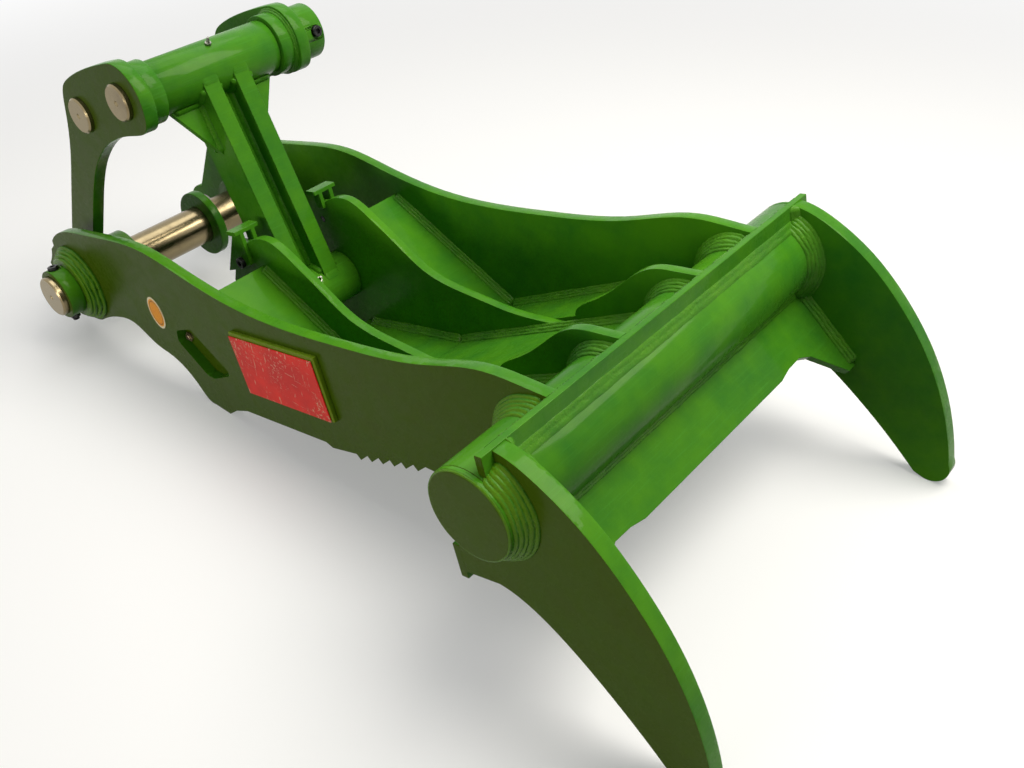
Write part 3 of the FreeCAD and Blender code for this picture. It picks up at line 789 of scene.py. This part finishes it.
@dataclass
class NodeDresser:
    """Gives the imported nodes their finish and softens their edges."""

    shop: Shop
    merge_gap: float = 0.01 * MM
    soft_edge: float = 1.6 * MM
    soft_steps: int = 2
    fold: float = math.radians(28)

    def dress(self) -> None:
        """Dress each node by its slot in the record."""
        for part in frame["record"]["subparts"]:
            node = frame["nodes"][part["node"]]
            # The nameplate backing gets the enamel with painted light.
            backing_painted_lit = part["node"] == "nameplate_backing"
            node.data.materials.clear()
            node.data.materials.append(
                self.shop.backing_painted_lit if backing_painted_lit else self.shop.of(Slot(part["material_slot"])))
            merge = node.modifiers.new("merge", "WELD")
            merge.merge_threshold = self.merge_gap
            bevel = node.modifiers.new("soften", "BEVEL")
            bevel.width = self.soft_edge
            bevel.segments = self.soft_steps
            bevel.limit_method = "ANGLE"
            bevel.angle_limit = self.fold
            bevel.harden_normals = True


@dataclass
class CrossTubeWelds:
    """The welds between the cross tube and all that meets it, and the beads round its caps."""

    shop: Shop
    broad_seam: Seam = Seam(24.0 * MM, 32.0 * MM, 5)
    slim_seam: Seam = Seam(18.0 * MM, 24.0 * MM, 4)
    cap_seam: Seam = Seam(3.6 * MM, 3.6 * MM, 1, crown=0.30, ripple=0.12, sink=0.1 * MM)
    cap_play: float = 0.4 * MM
    tine_arc: Span = (-152.0, 66.0)
    side_arc: Span = (74.0, 232.0)
    gusset_arc: Span = (74.0, 172.0)

    def build(self) -> None:
        """Lay the welds."""
        tube = Round.of("cross_tube")
        mesh = bmesh.new()
        for _, name in SIDES:
            self._plate(mesh, tube, "tine_" + name, self.tine_arc, self.broad_seam)
            self._plate(mesh, tube, "side_plate_" + name, self.side_arc, self.broad_seam)
            self._plate(mesh, tube, "front_gusset_" + name, self.gusset_arc, self.slim_seam)
        Piece("tube_welds", Body.THUMB).finish(mesh, self.shop.weld)
        self._caps(tube)

    @staticmethod
    def _plate(mesh: bmesh.types.BMesh, tube: Round, node: str, arc: Span, seam: Seam) -> None:
        """Weld both faces of one plate to the tube."""
        low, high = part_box(node)
        seam.around(mesh, tube, low.y, -1, *arc)
        seam.around(mesh, tube, high.y, 1, *arc)

    def _caps(self, tube: Round) -> None:
        """Fill the chamfer of each end cap with a bead."""
        mesh = bmesh.new()
        low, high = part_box("tube_end_caps")
        inset = self.cap_seam.first_leg + self.cap_play
        core = Round(tube.x, tube.z, tube.radius - inset, low.y, high.y)
        self.cap_seam.around(mesh, core, low.y + inset, -1)
        self.cap_seam.around(mesh, core, high.y - inset, 1)
        Piece("cap_beads", Body.THUMB).finish(mesh, self.shop.weld)


@dataclass
class StripWelds:
    """The welds along the top strip and the skirt; places are those of the level side view."""

    shop: Shop
    front: float = 1546.0
    rear: float = 1532.0
    top: float = 51.0
    foot_seam: Seam = Seam(13.0 * MM, 12.0 * MM, 2, crown=0.18, ripple=0.6)
    edge_seam: Seam = Seam(4.0 * MM, 6.5 * MM, 1, crown=0.35, ripple=0.9)
    edge_inset: Place = (2.2, 6.0)
    end_seam: Seam = Seam(15.0 * MM, 15.0 * MM, 1, crown=0.08, ripple=0.3, rows=8)
    end_drop: float = 1.0
    slope: float = math.radians(53)
    skirt_from_axis: float = 104.0
    skirt_bearing: float = -57.7
    skirt_meets: float = -22.0
    skirt_foot: float = 160.0
    skirt_seam: Seam = Seam(11.0 * MM, 13.0 * MM, 2, crown=0.3, ripple=0.5)
    tine_seam: Seam = Seam(16.0 * MM, 16.0 * MM, 3)
    tine_share: float = 0.6

    def build(self) -> None:
        """Lay the welds."""
        tube = Round.of("cross_tube")
        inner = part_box("tine_left")[0].y / MM
        mesh = bmesh.new()
        self._strip(mesh, tube, inner)
        Piece("strip_welds", Body.THUMB).finish(mesh, self.shop.weld)
        mesh = bmesh.new()
        self._skirt(mesh, tube, inner)
        Piece("skirt_welds", Body.THUMB).finish(mesh, self.shop.weld)

    def _strip(self, mesh: bmesh.types.BMesh, tube: Round, inner: float) -> None:
        """Weld the strip to the tube and the tines, and lay a rough bead on its rear top edge."""
        centre_x, centre_z = tube.place
        away = self.front - centre_x
        rise = math.sqrt((tube.radius / MM) ** 2 - away ** 2)
        length = math.hypot(away, rise)
        foot = (self.front, centre_z + rise)
        upward = VIEW.way(0, 1)
        down = VIEW.way(rise / length, -away / length)
        self.foot_seam.corner(mesh, VIEW.point(foot, -inner), VIEW.point(foot, inner), upward, down)
        edge = (self.rear + self.edge_inset[0], self.top - self.edge_inset[1])
        self.edge_seam.corner(mesh, VIEW.point(edge, -inner), VIEW.point(edge, inner),
                              VIEW.way(-1, 0), upward)
        for side, _ in SIDES:
            head = VIEW.point((self.front, self.top - self.end_drop), side * inner)
            self.end_seam.corner(mesh, VIEW.point(foot, side * inner), head, VIEW.way(1, 0),
                                 Vector((0, -side, 0)))

    def _skirt(self, mesh: bmesh.types.BMesh, tube: Round, inner: float) -> None:
        """Weld the skirt to the tube and to each tine."""
        down = VIEW.way(math.cos(self.slope), -math.sin(self.slope))
        out = VIEW.way(math.sin(self.slope), math.cos(self.slope))
        start = polar(tube.place, self.skirt_from_axis, self.skirt_bearing)
        left = VIEW.point(start, inner)
        right = VIEW.point(start, -inner)
        meet = down * (self.skirt_meets * MM)
        foot = down * (self.skirt_foot * MM)
        self.skirt_seam.corner(mesh, right + meet, left + meet, down, out)
        for corner, way in ((right, 1), (left, -1)):
            self.tine_seam.corner(mesh, corner + meet * self.tine_share, corner + foot,
                                  Vector((0, way, 0)), out)


@dataclass
class FloorWelds:
    """The welds between the floors and the upright plates."""

    shop: Shop
    seam: Seam = Seam(16.0 * MM, 14.0 * MM, 3, crown=0.22, ripple=0.5, rows=4)
    ramp: Place = (549.0, 33.0)
    bend: Place = (877.0, -211.0)
    middle_start: Place = (560.0, -222.0)
    run_in: Place = (1419.0, -50.5)

    def build(self) -> None:
        """Lay the welds of each bay."""
        inner_low, inner_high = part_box("inner_plate_left")
        side_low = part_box("side_plate_left")[0]
        outer_path = (self.ramp, self.bend, self.run_in)
        middle_path = (self.middle_start, self.bend, self.run_in)
        for side, name in SIDES:
            mesh = bmesh.new()
            for face, way in ((inner_high.y, 1), (side_low.y, -1)):
                self._bay(mesh, outer_path, side * face, side * way)
            self._bay(mesh, middle_path, side * inner_low.y, -side)
            Piece("floor_welds_" + name, Body.THUMB).finish(mesh, self.shop.weld)

    def _bay(self, mesh: bmesh.types.BMesh, path: Sequence[Place], face: float, way: int) -> None:
        """Weld one edge of a folded floor."""
        points = [VIEW.point(place, face / MM) for place in path]
        for start, end in zip(points, points[1:]):
            upward = Vector((0, 1, 0)).cross((end - start).normalized())
            if upward.z < 0:
                upward = -upward
            self.seam.corner(mesh, start, end, Vector((0, way, 0)), upward)


@dataclass
class HLinkWelds:
    """The welds of the H-link: ribs, web and gussets."""

    shop: Shop
    seam: Seam = Seam(10.0 * MM, 10.0 * MM, 1, crown=0.15, ripple=0.6, rows=7)
    end_seam: Seam = Seam(9.0 * MM, 9.0 * MM, 1, crown=0.15, ripple=0.8, rows=7)
    drawn_in: float = 14.0
    half_depth: float = 54.0 * MM
    half_web: float = 10.0 * MM
    web_lap: float = 2.0 * MM
    half_gusset: float = 8.0 * MM
    gusset_foot: float = 172.0 * MM
    gusset_reach: float = 128.0 * MM
    gusset_lap: float = 0.5 * MM

    def build(self) -> None:
        """Lay the welds."""
        lower = Round.of("h_link_lower_tube")
        upper = Round.of("h_link_upper_tube")
        low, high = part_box("h_link_rib_left")
        mesh = bmesh.new()
        self._tube(mesh, lower, upper, (low.y, high.y))
        self._tube(mesh, upper, lower, (low.y, high.y))
        self._web(mesh, lower, upper, low.y)
        self._gussets(mesh, upper, lower, high.y)
        Piece("h_link_welds", Body.H_LINK).finish(mesh, self.shop.plate)

    @staticmethod
    def _ways(near: Round, far: Round) -> tuple[Vector, Vector, Vector]:
        """Give one tube's axis point, the way to the other tube and the way forward."""
        line = (far.foot - near.foot).normalized()
        front = line.cross(Vector((0, 1, 0)))
        return near.foot, line, front if front.x > 0 else -front

    def _tube(self, mesh: bmesh.types.BMesh, near: Round, far: Round, rib: Span) -> None:
        """Weld the ribs' ends round one tube.

        Args:
            mesh: The mesh that takes the welds.
            near: The tube that they go round.
            far: The other tube.
            rib: The two faces of the left rib across the width.
        """
        foot, line, front = self._ways(near, far)
        middle = math.degrees(math.atan2(line.z, line.x) - VIEW.pitch)
        half = math.degrees(math.asin(self.half_depth / near.radius)) - self.drawn_in
        climb = math.sqrt(near.radius ** 2 - self.half_depth ** 2)
        for side, _ in SIDES:
            for face, way in zip(rib, (-1, 1)):
                self.seam.around(mesh, near, side * face, side * way, middle - half, middle + half)
            for way in (-1, 1):
                spot = foot + front * (way * self.half_depth) + line * climb
                away = (front * (way * climb) - line * self.half_depth) / near.radius
                start, end = (spot + Vector((0, side * face, 0)) for face in rib)
                self.end_seam.corner(mesh, start, end, line, away)

    def _web(self, mesh: bmesh.types.BMesh, lower: Round, upper: Round, rib: float) -> None:
        """Weld the web to the ribs, in front and behind."""
        foot, line, front = self._ways(lower, upper)
        length = (upper.foot - foot).length
        start = foot + line * (lower.radius - self.web_lap)
        end = foot + line * (length - upper.radius + self.web_lap)
        for side, _ in SIDES:
            for way in (-1, 1):
                shift = front * (way * self.half_web) + Vector((0, side * rib, 0))
                self.seam.corner(mesh, start + shift, end + shift, Vector((0, -side, 0)),
                                 front * way)

    def _gussets(self, mesh: bmesh.types.BMesh, upper: Round, lower: Round, rib: float) -> None:
        """Weld each gusset to the tube and to its rib."""
        head, line, front = self._ways(upper, lower)
        for side, _ in SIDES:
            across = Vector((0, side, 0))
            for way in (-1, 1):
                shift = front * (way * self.half_gusset)
                top = head + line * (upper.radius - self.gusset_lap) + shift
                root = top + across * rib
                foot = head + line * self.gusset_foot + shift + across * rib
                self.seam.corner(mesh, root, top + across * self.gusset_reach, line, front * way)
                self.seam.corner(mesh, root, foot, across, front * way)


@dataclass
class Bosses:
    """The main pin's bosses, turned and ringed with weld, and the welds of the link rings."""

    shop: Shop
    wall: float = 28.0 * MM
    chamfer: float = 2.5 * MM
    outer_seam: Seam = Seam(20.0 * MM, 25.0 * MM, 3, crown=0.42, rows=7)
    inner_seam: Seam = Seam(12.0 * MM, 12.0 * MM, 3)
    ring_seam: Seam = Seam(8.0 * MM, 8.0 * MM, 2)
    ring_radius: float = 68.0 * MM

    def build(self) -> None:
        """Turn and weld the bosses, and weld the rings."""
        pin = Round.of("main_pin")
        for side, name in SIDES:
            mesh = bmesh.new()
            low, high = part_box("pin_boss_" + name)
            near, far = (low.y, high.y) if side > 0 else (-high.y, -low.y)
            outer = pin.radius + self.wall
            Lathe().turn(mesh, Lathe.stand(pin.foot, Vector((0, side, 0))),
                         self._sleeve(pin.radius, outer, near, far))
            inside, outside = sorted((face.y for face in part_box("side_plate_" + name)), key=abs)
            bare = Round(pin.x, pin.z, outer, low.y, high.y)
            self.outer_seam.around(mesh, bare, outside, side)
            self.inner_seam.around(mesh, bare, inside, -side)
            made = Piece("pin_boss_" + name + "_welded", Body.THUMB).finish(mesh, self.shop.weld)
            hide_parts("pin_boss_" + name)
        self._rings()

    def _sleeve(self, bore: float, outer: float, near: float, far: float) -> list[Corner]:
        """Outline a sleeve with chamfered ends, from its near end to its far end."""
        cut = self.chamfer
        return [Corner(bore, near), Corner(outer - cut, near), Corner(outer, near + cut),
                Corner(outer, far - cut), Corner(outer - cut, far), Corner(bore, far),
                Corner(bore, near)]

    def _rings(self) -> None:
        """Weld the ring to the inner face of each link."""
        mesh = bmesh.new()
        pin = Round.of("upper_link_pin")
        for side, name in SIDES:
            low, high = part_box("dog_link_" + name)
            ring = Round(pin.x, pin.z, self.ring_radius, low.y, high.y)
            self.ring_seam.around(mesh, ring, low.y if side > 0 else high.y, -side)
        Piece("link_ring_welds", Body.DRIVE_LINKS).finish(mesh, self.shop.weld)


@dataclass
class Pins:
    """The bare steel pins, turned with chamfers, faced ends and centre drillings."""

    lathe: Lathe = Lathe()
    chamfer: float = 3.5 * MM
    drill: float = 6.5 * MM
    depth: float = 6.0 * MM
    point_share: float = 0.4
    wall_share: float = 0.8
    face_share: float = 0.55
    sharp: float = 25.0

    def build(self) -> None:
        """Turn each pin in place of its node."""
        for node, body in (("main_pin", Body.THUMB), ("lower_link_pin", Body.THUMB),
                           ("upper_link_pin", Body.DRIVE_LINKS),
                           ("cylinder_pin", Body.DRIVE_LINKS)):
            pin = Round.of(node)
            ends = self._end(pin.radius)
            outline = [Corner(spot.radius, pin.low + spot.height) for spot in ends]
            outline += [Corner(spot.radius, pin.high - spot.height) for spot in reversed(ends)]
            mesh = bmesh.new()
            self.lathe.turn(mesh, Lathe.stand(pin.foot, Vector((0, 1, 0))), outline)
            made = Piece(node + "_turned", body, Slot.PIN).finish(
                mesh, TurnedSteel(node + "_steel", (pin.x, pin.z)).build(), self.sharp)
            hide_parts(node)

    def _end(self, radius: float) -> list[Corner]:
        """Outline one end from the bottom of its drilling to its chamfer."""
        return [Corner(0.0, self.depth),
                Corner(self.drill * self.point_share, self.depth * self.wall_share),
                Corner(self.drill, 0.0), Corner(radius * self.face_share, 0.0),
                Corner(radius - self.chamfer, 0.0), Corner(radius, self.chamfer)]


@dataclass
class Screws:
    """Socket screws, nuts and studs in place of the plain ones."""

    shop: Shop
    lathe: Lathe = Lathe(48)
    sharp: float = 30.0
    head: float = 12.5 * MM
    head_height: float = 10.0 * MM
    head_chamfer: float = 1.2 * MM
    shank: float = 8.0 * MM
    tip_share: float = 0.8
    tip_height: float = 1.5 * MM
    socket: float = 7.0 * MM
    socket_depth: float = 6.0 * MM
    socket_point: float = 7.0 * MM
    thread: float = 2.0 * MM
    threads: int = 12
    thread_start: float = 2.0 * MM
    thread_end: float = 4.0 * MM
    crest: float = 0.2 * MM
    root: float = 1.1 * MM
    root_depth: float = 0.9 * MM
    head_inset: float = 0.9
    bracket_foot: float = 105.0 * MM
    stud_places: tuple[Place, Place] = ((410.0, -84.0), (546.0, -128.0))
    stud: float = 7.0 * MM
    stud_out: float = 9.0 * MM
    stud_chamfer: float = 1.0 * MM
    stud_bore: Place = (4.0 * MM, 3.5 * MM)
    bore_depth: Place = (5.0 * MM, 6.0 * MM)
    nut: float = 12.5 * MM
    nut_height: float = 5.0 * MM

    def build(self) -> None:
        """Make the screws of the collars and the brackets, and the studs of the windows."""
        self._cross("cross_bolts", Body.THUMB, VIEW.way(0, 1), (-1, 1))
        self._cross("collar_bolt", Body.DRIVE_LINKS, VIEW.way(1, 0), (0,))
        self._brackets()
        self._window()

    def _window(self) -> None:
        """Make the studs of the window covers, with a nut in the window and a head inside."""
        mesh = bmesh.new()
        for side, name in SIDES:
            low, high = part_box("window_cover_" + name)
            inside, outside = (low.y, high.y) if side > 0 else (-high.y, -low.y)
            for place in self.stud_places:
                self.lathe.turn(mesh, Lathe.stand(VIEW.point(place), Vector((0, side, 0))),
                                self._stud(inside, outside))
        made = Piece("window_studs", Body.THUMB, Slot.BOLT).finish(mesh, self.shop.stud, self.sharp)
        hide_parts("window_bolts")

    def _stud(self, inside: float, outside: float) -> list[Corner]:
        """Outline a stud from its hexagon head behind the cover to its bored end in the window."""
        back = inside - self.head_height
        seat = outside + self.nut_height
        end = outside + self.stud_out
        return [Corner(0.0, back), Corner(self.head, back, True), Corner(self.head, inside, True),
                Corner(self.shank, inside), Corner(self.shank, outside),
                Corner(self.nut, outside, True), Corner(self.nut, seat, True),
                Corner(self.stud, seat), Corner(self.stud, end - self.stud_chamfer),
                Corner(self.stud - self.stud_chamfer, end), Corner(self.stud_bore[0], end),
                Corner(self.stud_bore[1], end - self.bore_depth[0]),
                Corner(0.0, end - self.bore_depth[1])]

    def _cross(self, node: str, body: Body, way: Vector, sides: Sequence[int]) -> None:
        """Make the screws that go right through a collar and its pin.

        Args:
            node: The node that they replace.
            body: The body that they ride on.
            way: The way that their heads look.
            sides: Which ends of the pin have one, -1 for the right and 1 for the left, or 0 for
                the only one.
        """
        low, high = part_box(node)
        middle = (low + high) / 2
        length = self._length(high - low, way)
        reach = (high.y - low.y) / 2 - self.head * self.head_inset
        mesh = bmesh.new()
        for side in sides:
            foot = middle + Vector((0, side * reach, 0)) - way * (length / 2)
            self.lathe.turn(mesh, Lathe.stand(foot, way), self._screw(length, self.threads))
        made = Piece(node + "_socket", body, Slot.BOLT).finish(mesh, self.shop.bolt, self.sharp)
        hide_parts(node)

    def _length(self, size: Vector, way: Vector) -> float:
        """Give the length of a leaning screw from the size of its box."""
        run, rise = abs(way.x), abs(way.z)
        if rise > run:
            return (size.z - (self.head + self.shank) * run) / rise
        return (size.x - (self.head + self.shank) * rise) / run

    def _screw(self, length: float, threads: int = 0) -> list[Corner]:
        """Outline a socket screw from its threaded foot to its head."""
        seat = length - self.head_height
        outline = [Corner(0.0, 0.0), Corner(self.shank * self.tip_share, 0.0),
                   Corner(self.shank, self.tip_height)]
        for number in range(threads):
            start = self.thread_start + number * self.thread
            outline += [Corner(self.shank, start + self.crest),
                        Corner(self.shank - self.root_depth, start + self.root)]
        outline += [Corner(self.shank, self.thread_end + threads * self.thread),
                    Corner(self.shank, seat), Corner(self.head, seat),
                    Corner(self.head, length - self.head_chamfer),
                    Corner(self.head - self.head_chamfer, length),
                    Corner(self.socket, length, True),
                    Corner(self.socket, length - self.socket_depth, True),
                    Corner(0.0, length - self.socket_point)]
        return outline

    def _brackets(self) -> None:
        """Make the screws of the stop brackets."""
        low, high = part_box("bracket_bolts")
        middle = (low + high) / 2
        mesh = bmesh.new()
        for side, _ in SIDES:
            foot = Vector((middle.x, side * self.bracket_foot, middle.z))
            self.lathe.turn(mesh, Lathe.stand(foot, Vector((0, side, 0))),
                            self._screw(high.y - self.bracket_foot))
        made = Piece("bracket_screws", Body.THUMB, Slot.BOLT).finish(mesh, self.shop.bolt,
                                                                     self.sharp)
        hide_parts("bracket_bolts")


@dataclass(frozen=True)
class Lamp:
    """A soft light aimed at the object, square unless it has a height of its own."""

    name: str
    place: Colour
    aim: Colour
    size: float
    power: float
    colour: Colour = (1.0, 1.0, 1.0)
    height: float | None = None

    def build(self) -> None:
        """Hang the light."""
        data = bpy.data.lights.new(self.name, "AREA")
        data.shape = "RECTANGLE"
        data.size = self.size
        data.size_y = self.height or self.size
        data.energy = self.power
        data.color = self.colour
        made = bpy.data.objects.new(self.name, data)
        made.location = self.place
        way = Vector(self.aim) - Vector(self.place)
        made.rotation_euler = way.to_track_quat("-Z", "Y").to_euler()
        made.visible_camera = False
        bpy.context.scene.collection.objects.link(made)


@dataclass
class Studio:
    """The floor, the light and the camera."""

    lamps: tuple[Lamp, ...] = (
        Lamp("key", (2.3, 1.0, 3.2), (0.8, 0.0, 0.1), 2.4, 140.0, (1.0, 0.97, 0.90)),
        Lamp("top", (-0.6, 0.6, 3.4), (0.4, 0.0, 0.1), 2.6, 50.0),
        Lamp("front", (0.7, -6.4, 0.9), (0.7, 0.0, 0.0), 4.0, 125.0, (1.0, 0.96, 0.88), 1.2))
    fill: float = 0.16
    floor_size: float = 60.0
    floor_middle: float = 0.8
    floor_drop: float = 0.5 * MM
    floor_lit: Colour = (0.22, 0.22, 0.21)
    floor_seen: Colour = (0.92, 0.92, 0.91)
    floor_glow: float = 0.30
    floor_rough: float = 0.9
    fade_span: Span = (1.4, 4.5)
    lens: float = 35.70
    sensor: float = 36.0
    eye: Colour = (2.2535, -1.2041, 1.2958)
    right: Colour = (0.7608, 0.6466, -0.0541)
    up: Colour = (-0.3666, 0.4972, 0.7863)

    def build(self) -> None:
        """Set up the room round the object."""
        bpy.context.scene.view_settings.view_transform = "Standard"
        self._camera()
        self._world()
        self._floor()
        for lamp in self.lamps:
            lamp.build()

    def _camera(self) -> None:
        """Stand the camera where the photograph was taken."""
        data = bpy.data.cameras.new("camera")
        data.lens = self.lens
        data.sensor_width = self.sensor
        made = bpy.data.objects.new("camera", data)
        right, up = Vector(self.right), Vector(self.up)
        turn = Matrix((right, up, right.cross(up))).transposed().to_4x4()
        made.matrix_world = Matrix.Translation(Vector(self.eye)) @ turn
        bpy.context.scene.collection.objects.link(made)
        bpy.context.scene.camera = made

    def _world(self) -> None:
        """Make a world that is white to look at and softer as a light."""
        world = bpy.data.worlds.new("studio")
        bpy.context.scene.world = world
        bench = Bench(world)
        back = bench.tree.nodes["Background"].inputs
        bench.feed(back["Color"], WHITE)
        bench.feed(back["Strength"], self.fill + bench.looked_at() * (1 - self.fill))

    def _floor(self) -> None:
        """Lay a pale floor that fades into the white and keeps the shadow."""
        mesh = bmesh.new()
        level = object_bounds()[0].z - self.floor_drop
        bmesh.ops.create_grid(mesh, x_segments=1, y_segments=1, size=self.floor_size / 2,
                              matrix=Matrix.Translation((self.floor_middle, 0.0, level)))
        data = bpy.data.meshes.new("floor")
        mesh.to_mesh(data)
        mesh.free()
        data.materials.append(self._floor_paint())
        made = bpy.data.objects.new("floor", data)
        bpy.context.scene.collection.objects.link(made)
        made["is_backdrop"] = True

    def _floor_paint(self) -> bpy.types.Material:
        """Make the floor's paint, which glows white far from the object where it is looked at."""
        bench = Bench.paint("floor_paint")
        seen = bench.looked_at()
        from_middle = bench.place((1, 1, 0), (-self.floor_middle, 0, 0))
        away = bench.add("ShaderNodeVectorMath", {"operation": "LENGTH"}, {0: from_middle})
        fade = bench.ramp(bench.read(away, "Value"), self.fade_span)
        tone = bench.mix(seen, self.floor_lit, self.floor_seen)
        paint = bench.surface({"Roughness": self.floor_rough, "Specular IOR Level": 0.0},
                              {"Base Color": tone})
        glow = bench.add("ShaderNodeEmission", {}, {"Color": WHITE, "Strength": 1.0})
        share = seen * (self.floor_glow + fade * (1 - self.floor_glow))
        mixed = bench.add("ShaderNodeMixShader", {},
                          {0: share, 1: bench.tree.nodes["Principled BSDF"].outputs[0],
                           2: glow.outputs[0]})
        bench.feed(bench.tree.nodes["Material Output"].inputs["Surface"], mixed.outputs[0])
        return paint


def main() -> None:
    """Dress the thumb and set the studio up round it."""
    logging.basicConfig(level=logging.INFO)
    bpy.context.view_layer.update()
    shop = Shop()
    NodeDresser(shop).dress()
    for group in (CrossTubeWelds(shop), StripWelds(shop), FloorWelds(shop), HLinkWelds(shop),
                  Bosses(shop), Pins(), Screws(shop)):
        group.build()
    Studio().build()


if __name__ == "__main__":
    main()
